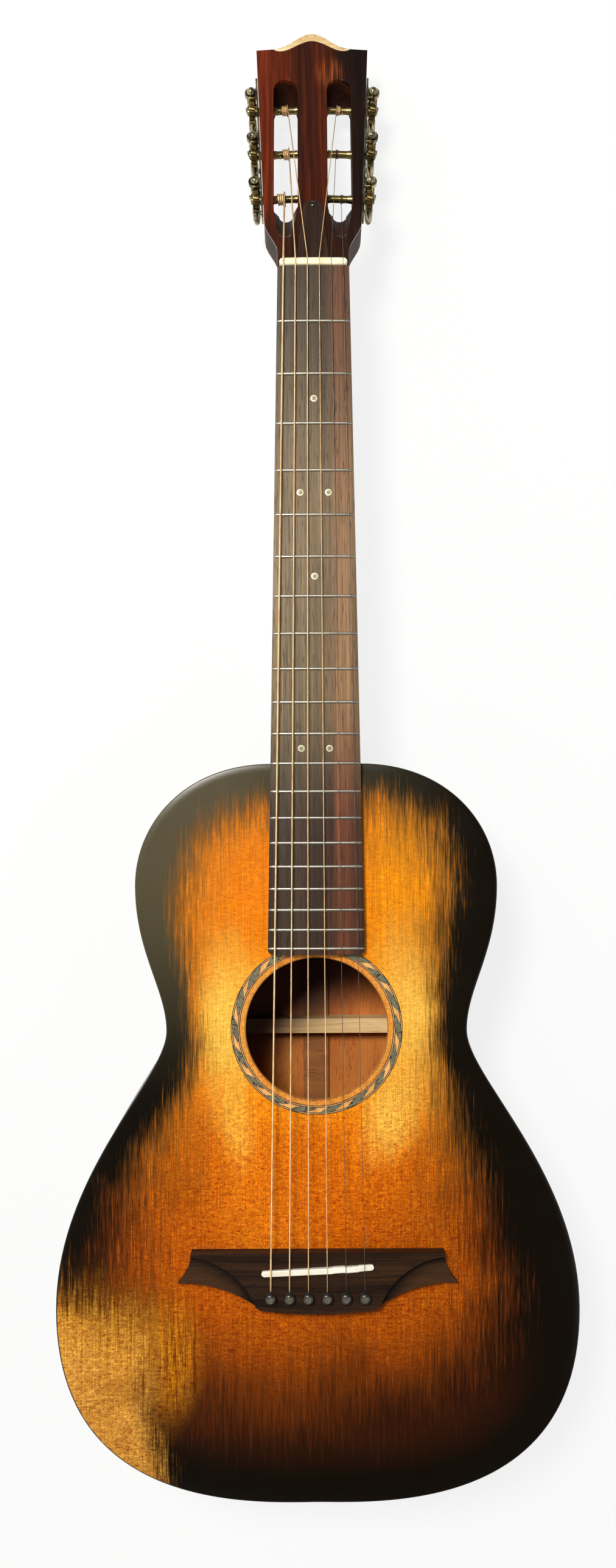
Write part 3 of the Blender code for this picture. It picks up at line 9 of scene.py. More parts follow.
import bmesh
import bpy
from mathutils import Matrix, Vector


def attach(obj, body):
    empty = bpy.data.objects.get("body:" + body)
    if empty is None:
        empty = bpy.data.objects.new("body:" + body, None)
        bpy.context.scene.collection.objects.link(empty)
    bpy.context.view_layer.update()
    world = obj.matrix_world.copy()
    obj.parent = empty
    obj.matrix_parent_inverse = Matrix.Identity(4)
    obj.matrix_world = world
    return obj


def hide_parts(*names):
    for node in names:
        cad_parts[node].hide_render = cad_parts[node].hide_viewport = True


MM = 0.001
SEAT = 0.3 * MM

# Scale, frets and strings
SCALE_LENGTH = 630 * MM
FRET_COUNT = 20
STRING_COUNT = 6
STRING_DIAMETERS = [1.35 * MM, 1.07 * MM, 0.81 * MM, 0.61 * MM, 0.43 * MM, 0.40 * MM]
WOUND_COUNT = 4
STRING_SPREAD_NUT = 37.7 * MM
STRING_SPREAD_SADDLE = 58.6 * MM
ACTION_NUT = 0.5 * MM
ACTION_BODY_FRET = 2.2 * MM
WRAP_PITCH = 0.32 * MM
DRAWN_SHARE = 0.86

# Fretboard, frets and nut
NUT_Y = SCALE_LENGTH / 2
NUT_THICKNESS = 4.6 * MM
NUT_WIDTH = 43.0 * MM
HEAD_Y = NUT_Y + NUT_THICKNESS
BOARD_WIDTH_NUT = 45.4 * MM
BOARD_WIDTH_BODY = 56.8 * MM
BOARD_EDGE = 5.4 * MM
BOARD_RADIUS = 406 * MM
BOARD_OVERHANG = 3.9 * MM
BOARD_CORNER = 3.4 * MM
FRET_WIDTH = 2.0 * MM
FRET_HEIGHT = 1.1 * MM
DOT_RADIUS = 2.15 * MM
DOT_SPREAD = 8.9 * MM
SINGLE_DOTS = (3, 7)
DOUBLE_DOTS = (5, 12)

# Body
BODY_LENGTH = 466.4 * MM
NECK_LAND = 28.5 * MM
UPPER_HALF = 115.0 * MM
UPPER_AT = 77.2 * MM
WAIST_HALF = 95.3 * MM
WAIST_AT = 169.3 * MM
LOWER_HALF = 165.7 * MM
LOWER_AT = 345.2 * MM
SHOULDER_HANDLE = 55.4 * MM
UPPER_HANDLE_IN = 39.2 * MM
UPPER_HANDLE_OUT = 42.8 * MM
WAIST_HANDLE_IN = 26.5 * MM
WAIST_HANDLE_OUT = 29.9 * MM
LOWER_HANDLE_IN = 86.0 * MM
LOWER_HANDLE_OUT = 130.0 * MM
TAIL_HANDLE = 35.7 * MM
DEPTH_NECK = 88 * MM
DEPTH_TAIL = 98 * MM
TOP_THICKNESS = 2.6 * MM
BACK_THICKNESS = 2.8 * MM
SIDE_THICKNESS = 2.2 * MM
BACK_FLAT_HALF = 42 * MM
BACK_ARCH_RADIUS = 2600 * MM
BACK_SLOPE = (DEPTH_TAIL - DEPTH_NECK) / BODY_LENGTH
BACK_ANGLE = math.atan(BACK_SLOPE)
EDGE_ROUND = 1.2 * MM
HOLE_RADIUS = 45 * MM
HOLE_Y = -168 * MM
ROSETTE_OUTER = 54.4 * MM
ROSETTE_INNER = 48.6 * MM
ROSETTE_LEAVES = 18
END_PIN_RADIUS = 7 * MM
END_PIN_LENGTH = 9 * MM

# Bridge, saddle and pins
BRIDGE_HEIGHT = 8.6 * MM
SADDLE_LENGTH = 70.6 * MM
SADDLE_THICKNESS = 3.6 * MM
SADDLE_SLANT = math.radians(3.1)
SADDLE_Y = NUT_Y - SCALE_LENGTH - 2.3 * MM
SADDLE_SLOT_DEPTH = 5 * MM
PIN_Y = SADDLE_Y - 16.7 * MM
PIN_SPACING = 11.8 * MM
PIN_HEAD_RADIUS = 3.6 * MM
PIN_SHAFT_RADIUS = 2.4 * MM
BRIDGE_TO_SADDLE = 10.8 * MM
SCOOP_RADIUS = 49.6 * MM
SCOOP_X = 85 * MM
SCOOP_Y = SADDLE_Y + BRIDGE_TO_SADDLE - 52 * MM

# Headstock
HEAD_TILT = math.radians(15)
HEADPLATE_THICKNESS = 2.2 * MM
SHOULDER_END = 31.5 * MM
SHOULDER_HALF = 31.5 * MM
CORNER_AT = 168 * MM
CORNER_HALF = 37.4 * MM
CREST_AT = 181.5 * MM
CREST_FOOT = 2.2 * MM
CREST_CAP_DEPTH = 5.6 * MM
SIDE_SLOPE = (CORNER_HALF - SHOULDER_HALF) / (CORNER_AT - SHOULDER_END)
SIDE_ANGLE = math.atan(SIDE_SLOPE)
SIDE_ORIGIN = SHOULDER_HALF - SIDE_SLOPE * SHOULDER_END
SLOT_WIDTH = 16.1 * MM
SLOT_CENTER = 17.8 * MM
COVER_THICKNESS = 1.8 * MM
COVER_SCREW_AT = 42.5 * MM

# Tuning machines
POSTS_AT = [55.5 * MM, 91 * MM, 126.5 * MM]
POST_DEPTH = 9.5 * MM
POST_RADIUS = 2.3 * MM
POST_COLLAR = 2.2 * MM
CHEEK_SHAFT_RADIUS = 2.6 * MM
POST_SCREW_RADIUS = 2.5 * MM
POST_SCREW_HEIGHT = 1.3 * MM
GEAR_TEETH = 14
GEAR_MODULE = 0.886 * MM
GEAR_FACE = 4 * MM
GEAR_RADIUS = GEAR_TEETH * GEAR_MODULE / 2
TOOTH_ADDENDUM = 0.64 * MM
TOOTH_DEDENDUM = 0.86 * MM
TOOTH_BACKLASH = 0.40 * MM
PRESSURE_ANGLE = math.radians(20)
THREAD_PITCH = math.pi * GEAR_MODULE
WORM_PITCH_RADIUS = 2.4 * MM
WORM_RADIUS = WORM_PITCH_RADIUS + TOOTH_ADDENDUM
WORM_OFFSET = GEAR_RADIUS + WORM_PITCH_RADIUS
WORM_TURNS = 2.6
LEAD_SLOPE = THREAD_PITCH / (2 * math.pi * WORM_PITCH_RADIUS)
SHAFT_RADIUS = 1.6 * MM
PLATE_THICKNESS = 1.2 * MM
PLATE_MARGIN = 14 * MM
GEAR_PLANE = SEAT + PLATE_THICKNESS + SEAT + WORM_RADIUS
EAR_THICKNESS = 2.2 * MM
EAR_HALF_WIDTH = 3.4 * MM
KNOB_RADIUS = 2.9 * MM
KNOB_LENGTH = 3.6 * MM
BUTTON_START = 14.5 * MM
BUTTON_LENGTH = 15 * MM
BUTTON_HALF_WIDTH = 7 * MM
BUTTON_HALF_THICKNESS = 2.7 * MM
WINDING_ENTRY = [18.4 * MM, 15.6 * MM, 16.6 * MM]
WINDING_TURNS = [3.25, 3.25, 4.25, 3.25, 3.25, 3.25]
WINDING_GAP = 0.07 * MM
WINDING_STEPS = 36
OUTER_WRAP = math.radians(200)
OUTER_STEPS = 20
OUTER_GAP = 0.03 * MM
SIDES = {"bass": -1, "treble": 1}

# Where the guitar lies, and where the photograph was taken from
LEVEL = Matrix.Rotation(-BACK_ANGLE, 4, "X")
HEAD_TURN = Matrix.Translation((0, HEAD_Y, 0)) @ Matrix.Rotation(-HEAD_TILT, 4, "X")
CREST_END = LEVEL @ HEAD_TURN @ Vector((0, CREST_AT, 0))
END_PIN_Z = -(DEPTH_TAIL + TOP_THICKNESS - BACK_THICKNESS) / 2
TAIL_END = LEVEL @ Vector((0, -BODY_LENGTH - SEAT - END_PIN_LENGTH, END_PIN_Z - END_PIN_RADIUS * 0.55))
GUITAR_AT = Vector((0, -(CREST_END.y + TAIL_END.y) / 2, DEPTH_NECK * math.cos(BACK_ANGLE)))
CAMERA_AT = Vector((-4.78 * MM, -21.7 * MM, 794.5 * MM))
CAMERA_PITCH = 0.0110
CAMERA_ROLL = -0.0044
PHOTO_HEIGHT = 2576
FOCAL_PIXELS = 2056.6
SENSOR = 24.0

GUITAR = Matrix.Translation(GUITAR_AT) @ LEVEL
HEAD = GUITAR @ HEAD_TURN
MACHINES = {}
for side_name, side_sign in SIDES.items():
    side_turn = Matrix.Rotation(-side_sign * SIDE_ANGLE, 4, "Z")
    MACHINES[side_name] = HEAD @ Matrix.Translation((side_sign * SIDE_ORIGIN, 0, 0)) @ side_turn

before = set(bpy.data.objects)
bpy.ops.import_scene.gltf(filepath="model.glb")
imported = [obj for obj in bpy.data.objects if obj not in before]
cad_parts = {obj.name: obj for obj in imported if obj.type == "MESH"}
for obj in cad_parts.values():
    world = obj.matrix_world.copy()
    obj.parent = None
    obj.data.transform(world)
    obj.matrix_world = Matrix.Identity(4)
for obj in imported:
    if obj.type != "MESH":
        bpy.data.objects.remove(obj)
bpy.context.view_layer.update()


# Node building

class Value:
    """One output of a node. Arithmetic on it adds Math nodes to its tree."""

    def __init__(self, socket):
        self.socket = socket

    def __add__(self, other):
        return calc("ADD", self, other)

    def __sub__(self, other):
        return calc("SUBTRACT", self, other)

    def __rsub__(self, other):
        return calc("SUBTRACT", other, self)

    def __mul__(self, other):
        return calc("MULTIPLY", self, other)

    def __truediv__(self, other):
        return calc("DIVIDE", self, other)


class Outputs:
    """A node's outputs as values, by name or by number."""

    def __init__(self, node):
        self.node = node

    def __getitem__(self, key):
        return Value(self.node.outputs[key])


def set_inputs(node, inputs):
    """Each named input of a node, linked or set."""
    for name, value in inputs.items():
        if isinstance(value, Value):
            node.id_data.links.new(value.socket, node.inputs[name])
        else:
            node.inputs[name].default_value = value


def add_node(kind, inputs=None, tree=None, **settings):
    """The outputs of a new node. Its tree, if not given, is that of the first value among its inputs."""
    inputs = inputs or {}
    if tree is None:
        tree = next(value.socket.id_data for value in inputs.values() if isinstance(value, Value))
    made = tree.nodes.new(kind)
    for name, value in settings.items():
        setattr(made, name, value)
    set_inputs(made, inputs)
    return Outputs(made)


def calc(operation, a, b=0.0, c=0.0, clamp=False):
    """The result of a Math node."""
    return add_node("ShaderNodeMath", {0: a, 1: b, 2: c}, operation=operation, use_clamp=clamp)[0]


def parts(vector):
    """A vector's x, y and z."""
    return add_node("ShaderNodeSeparateXYZ", {"Vector": vector})


def joined(**shares):
    """A vector of the given X, Y and Z."""
    return add_node("ShaderNodeCombineXYZ", shares)[0]


def ranged(value, low, high, start=0.0, end=1.0, shape="SMOOTHSTEP"):
    """A value taken from one range to another."""
    inputs = {"Value": value, "From Min": low, "From Max": high, "To Min": start, "To Max": end}
    return add_node("ShaderNodeMapRange", inputs, interpolation_type=shape)["Result"]


def linear(shade):
    """A screen colour, three values up to 255, as the linear one that nodes take."""
    if isinstance(shade, Value) or len(shade) == 4:
        return shade
    shares = [part / 255 for part in shade]
    return (*(s / 12.92 if s <= 0.04045 else ((s + 0.055) / 1.055) ** 2.4 for s in shares), 1.0)


def mixed(share, a, b, how="MIX"):
    """Two colours mixed."""
    inputs = {0: share, 6: linear(a), 7: linear(b)}
    return add_node("ShaderNodeMix", inputs, data_type="RGBA", blend_type=how, clamp_factor=True)[2]


def tinted(shade, red, rest=None):
    """A colour multiplied by one value, or by one for red and another for green and blue."""
    rest = rest or red
    tint = add_node("ShaderNodeCombineColor", {"Red": red, "Green": rest, "Blue": rest})["Color"]
    return mixed(1.0, shade, tint, "MULTIPLY")


def ramp(value, stops):
    """A colour picked from (place, colour) stops."""
    made = add_node("ShaderNodeValToRGB", {"Fac": value})
    elements = made.node.color_ramp.elements
    while len(elements) < len(stops):
        elements.new(0.5)
    for element, (place, shade) in zip(elements, stops):
        element.position = place
        element.color = linear(shade)
    return made["Color"]


def stretched(vector, scale, turn=(0, 0, 0)):
    """Coordinates scaled by their own amount along each axis."""
    return add_node("ShaderNodeMapping", {"Vector": vector, "Scale": scale, "Rotation": turn})["Vector"]


def noise(vector, scale=1.0, detail=3.0, roughness=0.5, distortion=0.0):
    """A noise value, about 0.5 on average."""
    inputs = {"Vector": vector, "Scale": scale, "Detail": detail, "Roughness": roughness,
              "Distortion": distortion}
    return add_node("ShaderNodeTexNoise", inputs)["Fac"]


def centered(value, reach):
    """A noise value moved to lie about 0, times a reach."""
    return (value - 0.5) * reach


def bumped(height, strength, distance):
    """A normal shaped by a height."""
    inputs = {"Height": height, "Strength": strength, "Distance": distance}
    return add_node("ShaderNodeBump", inputs)["Normal"]


def new_group(name, tree_kind, inputs, outputs):
    """A node group with named sockets: its tree, its inputs' values, and the node that takes its results."""
    tree = bpy.data.node_groups.new(name, tree_kind)
    for label, kind, *value in inputs:
        socket = tree.interface.new_socket(label, in_out="INPUT", socket_type="NodeSocket" + kind)
        if value:
            socket.default_value = value[0]
    for label, kind in outputs:
        tree.interface.new_socket(label, in_out="OUTPUT", socket_type="NodeSocket" + kind)
    return tree, Outputs(tree.nodes.new("NodeGroupInput")), tree.nodes.new("NodeGroupOutput")


def use_group(group, inputs):
    """A group placed in a material."""
    return add_node("ShaderNodeGroup", inputs, node_tree=group)


def place_group(name, matrix):
    """Coordinates on the guitar or the head, in metres, from Object coordinates."""
    tree, given, result = new_group(name, "ShaderNodeTree", [("Vector", "Vector")], [("Vector", "Vector")])
    back = matrix.inverted()
    set_inputs(result, {"Vector": add_node("ShaderNodeMapping", {
        "Vector": given["Vector"], "Location": back.translation, "Rotation": back.to_euler()})["Vector"]})
    return tree


def grain_group():
    """Wood grain along y: broad bands, fine lines, pores and a height for the bump."""
    tree, given, result = new_group("wood_grain", "ShaderNodeTree", [
        ("Vector", "Vector"), ("Bands", "Float", 60.0), ("Lines", "Float", 700.0), ("Length", "Float", 6.0),
        ("Wander", "Float", 0.4)],
        [("Bands", "Float"), ("Lines", "Float"), ("Pores", "Float"), ("Height", "Float")])
    vector, length = given["Vector"], given["Length"]
    shift = centered(noise(vector, 9.0, 2.0), given["Wander"])
    inputs = {0: vector, 1: joined(X=shift * 0.02)}
    bent = add_node("ShaderNodeVectorMath", inputs, operation="ADD")[0]
    grains = []
    for scale, detail, along in ((given["Bands"], 4.0, length), (given["Lines"], 2.0, length),
                                 (given["Lines"], 1.0, length * 10.0)):
        inputs = {0: bent, 1: joined(X=scale, Y=along, Z=scale)}
        sized = add_node("ShaderNodeVectorMath", inputs, operation="MULTIPLY")[0]
        grains.append(noise(sized, 1.0, detail, 0.55))
    pores = ranged(grains[2], 0.58, 0.70)
    set_inputs(result, {"Bands": grains[0], "Lines": grains[1], "Pores": pores,
                        "Height": grains[1] - pores * 0.8})
    return tree


def wear_group():
    """Handling marks for any finish: smudges that dull it, and fine scratches."""
    tree, given, result = new_group("handling_wear", "ShaderNodeTree", [
        ("Vector", "Vector"), ("Roughness", "Float", 0.4), ("Smudges", "Float", 0.1),
        ("Scale", "Float", 40.0)],
        [("Roughness", "Float"), ("Scratches", "Float"), ("Smudge", "Float")])
    smudge = noise(given["Vector"], given["Scale"], 4.0, 0.6)
    lines = noise(stretched(given["Vector"], (900, 60, 900), (0, 0, 0.5)), 1.0, 2.0)
    offset = centered(smudge, given["Smudges"])
    set_inputs(result, {"Roughness": calc("ADD", given["Roughness"], offset, clamp=True),
                        "Scratches": ranged(lines, 0.66, 0.74), "Smudge": smudge})
    return tree


def patch_group():
    """A soft oval spot in the plane of the top: 1 in its middle and 0 past its reach."""
    tree, given, result = new_group("soft_patch", "ShaderNodeTree", [
        ("X", "Float"), ("Y", "Float"), ("Center X", "Float", 0.0), ("Center Y", "Float", 0.0),
        ("Reach X", "Float", 0.05), ("Reach Y", "Float", 0.05), ("Turn", "Float", 0.0),
        ("Jitter", "Float", 0.0)], [("Share", "Float")])
    dx = given["X"] - given["Center X"]
    dy = given["Y"] - given["Center Y"]
    cosine, sine = calc("COSINE", given["Turn"]), calc("SINE", given["Turn"])
    u = (dx * cosine + dy * sine) / given["Reach X"]
    v = (dy * cosine - dx * sine) / given["Reach Y"]
    away = calc("SQRT", u * u + v * v) + given["Jitter"]
    set_inputs(result, {"Share": ranged(away, 1.0, 0.15)})
    return tree


GUITAR_PLACE = place_group("guitar_place", GUITAR)
HEAD_PLACE = place_group("head_place", HEAD)
GRAIN = grain_group()
WEAR = wear_group()
PATCH = patch_group()


# Materials

def new_material(name):
    """A material with an empty node tree."""
    made = bpy.data.materials.new(name)
    made.use_nodes = True
    made.node_tree.nodes.clear()
    return made


def finished(made, inputs, kind="ShaderNodeBsdfPrincipled"):
    """The material, with its shader placed last."""
    shader = add_node(kind, inputs, made.node_tree)
    add_node("ShaderNodeOutputMaterial", {"Surface": shader[0]})
    return made


def object_place(made, group=None):
    """Object coordinates, or the place on the guitar or head."""
    vector = add_node("ShaderNodeTexCoord", tree=made.node_tree)["Object"]
    return vector if group is None else use_group(group, {"Vector": vector})["Vector"]


def painted_carving_shading(made, shade, x, y):
    """Painted shade on the bridge: its upright walls darkened, and on its scooped wings a painted lighter
    floor inside a painted shadow line along the arc.
    """
    sideways = calc("ABSOLUTE", parts(add_node("ShaderNodeTexCoord", tree=made.node_tree)["Normal"])["X"])
    # Painted shade: walls that face sideways are darkened
    shade = mixed(ranged(sideways, 0.12, 0.40, 0.0, 0.85), shade, (5, 3, 2))
    across = calc("ABSOLUTE", x) - SCOOP_X
    back = y - SCOOP_Y
    inside = SCOOP_RADIUS - calc("SQRT", across * across + back * back)
    # Painted light: the wings' floor is lighter inside the arc
    shade = mixed(ranged(inside, 4 * MM, 11 * MM, 0.0, 0.35), shade, (84, 54, 30))
    # Painted shadow: a dark line along the foot of the arc
    line = ranged(inside, -0.3 * MM, 0.2 * MM) * ranged(inside, 5.5 * MM, 0.8 * MM)
    return mixed(line * 0.9, shade, (5, 3, 2))


def wood_material(name, group, dark, light, pore, across=False, bands=60.0, lines=700.0, length=6.0,
                  roughness=0.45, coat=0.0, bump=0.15, coat_roughness=0.1, shine=0.5, shaded=None,
                  with_carving_shading=False):
    """A wood whose grain runs along y, or across it."""
    made = new_material(name)
    place = object_place(made, group)
    vector = stretched(place, (1, 1, 1), (0, 0, math.pi / 2 if across else 0))
    grain = use_group(GRAIN, {"Vector": vector, "Bands": bands, "Lines": lines, "Length": length})
    wear = use_group(WEAR, {"Vector": vector, "Roughness": roughness, "Smudges": 0.12})
    share = calc("MULTIPLY_ADD", grain["Lines"], 0.45, grain["Bands"] * 0.75)
    shade = mixed(ranged(share, 0.38, 0.82), dark, light)
    shade = mixed(grain["Pores"] * 0.7, shade, pore)
    x, y, _ = parts(place)
    # Painted shadow: where the sound hole's rim shades the inside of the body, towards the bass side and the
    # neck, the shaded colour is mixed in
    if shaded is not None:
        down = calc("MULTIPLY_ADD", x, 0.7, y * -1)
        shade = mixed(ranged(down, 0.200, 0.150, 0.0, 0.94), shade, shaded)
    if with_carving_shading:
        shade = painted_carving_shading(made, shade, x, y)
    return finished(made, {
        "Base Color": shade, "Roughness": wear["Roughness"], "Coat Weight": coat,
        "Coat Roughness": coat_roughness, "Specular IOR Level": shine,
        "Normal": bumped(grain["Height"], bump, 0.0003)})


def metal_material(name, bright, dull, roughness=0.3, tarnish=0.5, scale=120.0):
    """Worn metal, bright where it is handled and dull in between."""
    made = new_material(name)
    vector = object_place(made)
    wear = use_group(WEAR, {"Vector": vector, "Roughness": roughness, "Smudges": 0.3, "Scale": scale})
    fine = noise(vector, scale * 6, 3.0, 0.6)
    share = calc("MULTIPLY_ADD", fine, 0.4, wear["Smudge"] * 0.6)
    return finished(made, {
        "Base Color": mixed(ranged(share, 0.62 - 0.3 * tarnish, 0.78 - 0.2 * tarnish), bright, dull),
        "Metallic": 1.0, "Roughness": wear["Roughness"], "Normal": bumped(fine, 0.08, 0.0002)})


def shell_material(name, shades, scale=520.0, roughness=0.45):
    """Abalone or pearl: folded bands that turn from one colour to the next."""
    made = new_material(name)
    vector = object_place(made)
    fold = noise(vector, scale, 3.0, 0.55, 1.6)
    vein = noise(vector, scale * 3.2, 2.0, 0.6, 2.2)
    return finished(made, {
        "Base Color": ramp(calc("MULTIPLY_ADD", vein, 0.35, fold * 0.75), shades), "Roughness": roughness,
        "Metallic": 0.15, "Coat Weight": 0.2, "Coat Roughness": 0.06, "Normal": bumped(vein, 0.1, 0.0002)})


def bone_material(name, pale, warm, roughness=0.32):
    """Bone with faint warm patches and fine sawn lines."""
    made = new_material(name)
    vector = object_place(made)
    wear = use_group(WEAR, {"Vector": vector, "Roughness": roughness, "Smudges": 0.15})
    patch = noise(vector, 70.0, 3.0, 0.6)
    lines = noise(stretched(vector, (260, 1600, 1600)), 1.0, 2.0)
    share = calc("MULTIPLY_ADD", lines, 0.35, patch * 0.8)
    return finished(made, {
        "Base Color": mixed(ranged(share, 0.4, 0.8), pale, warm), "Roughness": wear["Roughness"],
        "Coat Weight": 0.25, "Coat Roughness": 0.12, "Normal": bumped(lines, 0.06, 0.0002)})


def sunburst_material():
    """The top's brushed sunburst, which reads each point's distance to the edge."""
    made = new_material("sunburst_top")
    vector = object_place(made, GUITAR_PLACE)
    x, y, _ = parts(vector)
    edge = add_node("ShaderNodeAttribute", tree=made.node_tree, attribute_name="edge")["Fac"]
    grain = use_group(GRAIN, {"Vector": vector, "Bands": 110.0, "Lines": 1250.0, "Length": 7.0,
                              "Wander": 0.15})
    brush = noise(stretched(vector, (520, 17, 1)), 1.0, 5.0, 0.70)
    brush_fine = noise(stretched(vector, (1900, 60, 1)), 1.0, 3.0, 0.65)
    cloud = noise(vector, 16.0, 4.0, 0.55)
    silk = noise(stretched(vector, (230, 760, 1)), 1.0, 4.0, 0.62, 0.6)
    streak = centered(brush, 1.7) + centered(brush_fine, 1.6)
    jitter = streak + centered(cloud, 1.1)

    def painted(shade, paint, strength, center, reach, turn=0.0):
        patch = use_group(PATCH, {
            "X": x, "Y": y, "Center X": center[0] * MM, "Center Y": center[1] * MM,
            "Reach X": reach[0] * MM, "Reach Y": reach[1] * MM, "Turn": math.radians(turn),
            "Jitter": jitter * 0.55})
        return mixed(patch["Share"] * strength, shade, paint)

    # Amber: deeper towards the tail, gold on the treble side, palest round the sound hole
    wavy = y + centered(cloud, 0.05)
    shade = mixed(ranged(wavy, -0.20, -0.30), (240, 128, 12), (196, 92, 7))
    shade = mixed(ranged(wavy, -0.31, -0.43), shade, (96, 38, 4))
    for paint, strength, center, reach, turn in (
            ((244, 148, 14), 1.0, (60, -66), (52, 110), 0),
            ((246, 158, 26), 1.0, (2, -172), (100, 80), 0),
            ((196, 96, 8), 0.8, (-84, -250), (40, 80), -14),
            ((182, 88, 8), 0.8, (72, -290), (44, 70), 8),
            ((228, 122, 16), 0.8, (-30, -286), (50, 60), 0),
            ((251, 190, 76), 1.0, (66, -160), (38, 78), 4),
            ((252, 194, 76), 1.0, (-60, -166), (29, 76), 0),
            ((250, 184, 70), 1.0, (48, -222), (26, 46), -24),
            ((250, 176, 58), 0.8, (-52, -226), (16, 44), 12),
            ((214, 106, 8), 0.95, (-2, -262), (42, 58), 0)):
        shade = painted(shade, paint, strength, center, reach, turn)
    lines = ranged(grain["Lines"], 0.30, 0.70, 0.78, 1.12, "LINEAR")
    ripples = ranged(silk, 0.34, 0.66, 0.80, 1.14, "LINEAR")
    strokes = ranged(brush_fine, 0.36, 0.64, 0.84, 1.12, "LINEAR")
    both = lines * ripples * strokes
    crackle = noise(stretched(vector, (430, 640, 1)), 1.0, 4.0, 0.68, 1.4)
    crackle = centered(crackle, ranged(y, -0.17, -0.25, 1.4, 3.4))
    curl = noise(stretched(vector, (150, 820, 1)), 1.0, 3.0, 0.62, 1.0)
    crackle = crackle + centered(curl, 1.5) * ranged(y, -0.19, -0.29)
    golden = both * calc("MULTIPLY_ADD", crackle, 1.2, 1.0)
    both = both * calc("MULTIPLY_ADD", crackle, 0.7, 1.0)
    from_hole = calc("SQRT", calc("POWER", x, 2.0) + calc("POWER", y - HOLE_Y, 2.0))
    ring = ranged(from_hole, ROSETTE_INNER + 1 * MM, ROSETTE_INNER, 0.0, 0.8)
    shade = mixed(ring, shade, (222, 146, 66))
    rim = ranged(from_hole, HOLE_RADIUS + 1.2 * MM, HOLE_RADIUS + 0.2 * MM, 0.0, 0.6)
    shade = tinted(mixed(rim, shade, (120, 62, 20)), both, golden)

    # The dark band, dry-brushed along the grain. From the neck to the tail: how far in its middle
    # lies on the bass side and on the treble side, and how wide its fade is, in tenths of a metre
    on_bass, on_treble, fade = add_node("ShaderNodeSeparateColor", {"Color": ramp(
        ranged(y, 0.0, -0.47, 0.0, 1.0, "LINEAR"), [
            (0.00, (0.17, 0.15, 0.20, 1)), (0.13, (0.27, 0.30, 0.26, 1)), (0.24, (0.22, 0.29, 0.22, 1)),
            (0.33, (0.15, 0.19, 0.13, 1)), (0.43, (0.20, 0.22, 0.20, 1)), (0.54, (0.20, 0.35, 0.26, 1)),
            (0.70, (0.29, 0.48, 0.40, 1)), (0.85, (0.50, 0.56, 0.52, 1)), (1.00, (0.53, 0.54, 0.54, 1))])})
    treble = ranged(x, -0.03, 0.03)
    middle = on_treble * treble + on_bass * (1.0 - treble)
    inward = (edge - middle * 0.1) / (fade * 0.1) + jitter
    below = ranged(y, -0.18, -0.30)
    veil = mixed(below, (168, 104, 22), (118, 54, 6))
    brown = mixed(below, (116, 74, 24), (74, 32, 5))
    veiled = calc("MULTIPLY_ADD", jitter, 1.0, inward)
    thick = ranged(fade, 0.12, 0.30, 0.25, 0.75)
    shade = mixed(ranged(veiled, 2.0, 0.0) * thick, shade, veil)
    shade = mixed(ranged(inward, 0.95, -0.05) * 0.9, shade, brown)
    # Painted sheen: the dark band turns a lighter olive towards the upper bass side, as if lit there
    painted_sheen = ranged(x, 0.11, -0.08) * ranged(y, -0.22, -0.07)
    deep = ranged(y, -0.34, -0.42) * ranged(edge, 0.012, 0.045)
    dark = mixed(painted_sheen, mixed(deep, (14, 8, 2), (46, 18, 4)), (76, 69, 48))
    shade = mixed(ranged(inward, 0.35, -0.40), shade, dark)

    # Bare, worn wood on the bass side of the lower bout, and the golden band beside it
    marks = ranged(brush + centered(brush_fine, 0.6), 0.36, 0.60)
    band = tinted(mixed(marks, (120, 58, 6), (226, 142, 24)), both, golden)
    shade = painted(shade, band, 0.75, (-93, -376), (25, 58), -4)
    side = x + ranged(y, -0.40, -0.46) * -0.008 + jitter * 0.022
    rise = calc("MULTIPLY_ADD", streak, 0.060, y)
    rise = calc("MULTIPLY_ADD", x + 0.13, 0.30, rise) + centered(cloud, 0.06)
    share = ranged(side, -0.097, -0.119) * ranged(rise, -0.312, -0.376) * ranged(edge, 0.0002, 0.0014)
    bare = ramp(ranged(rise, -0.32, -0.42, 0.0, 1.0, "LINEAR"), [
        (0.0, (120, 66, 8)), (0.4, (204, 136, 40)), (0.75, (220, 154, 64)), (1.0, (208, 142, 54))])
    bare = mixed(ranged(cloud, 0.52, 0.68) * 0.5, bare, (170, 106, 28))
    shade = mixed(share, shade, tinted(bare, both, golden))

    wear = use_group(WEAR, {"Vector": vector, "Roughness": 0.25, "Smudges": 0.12})
    return finished(made, {
        "Base Color": shade, "Roughness": wear["Roughness"], "Specular IOR Level": 0.24,
        "Normal": bumped(grain["Lines"] + silk * 0.8, 0.10, 0.0002)})


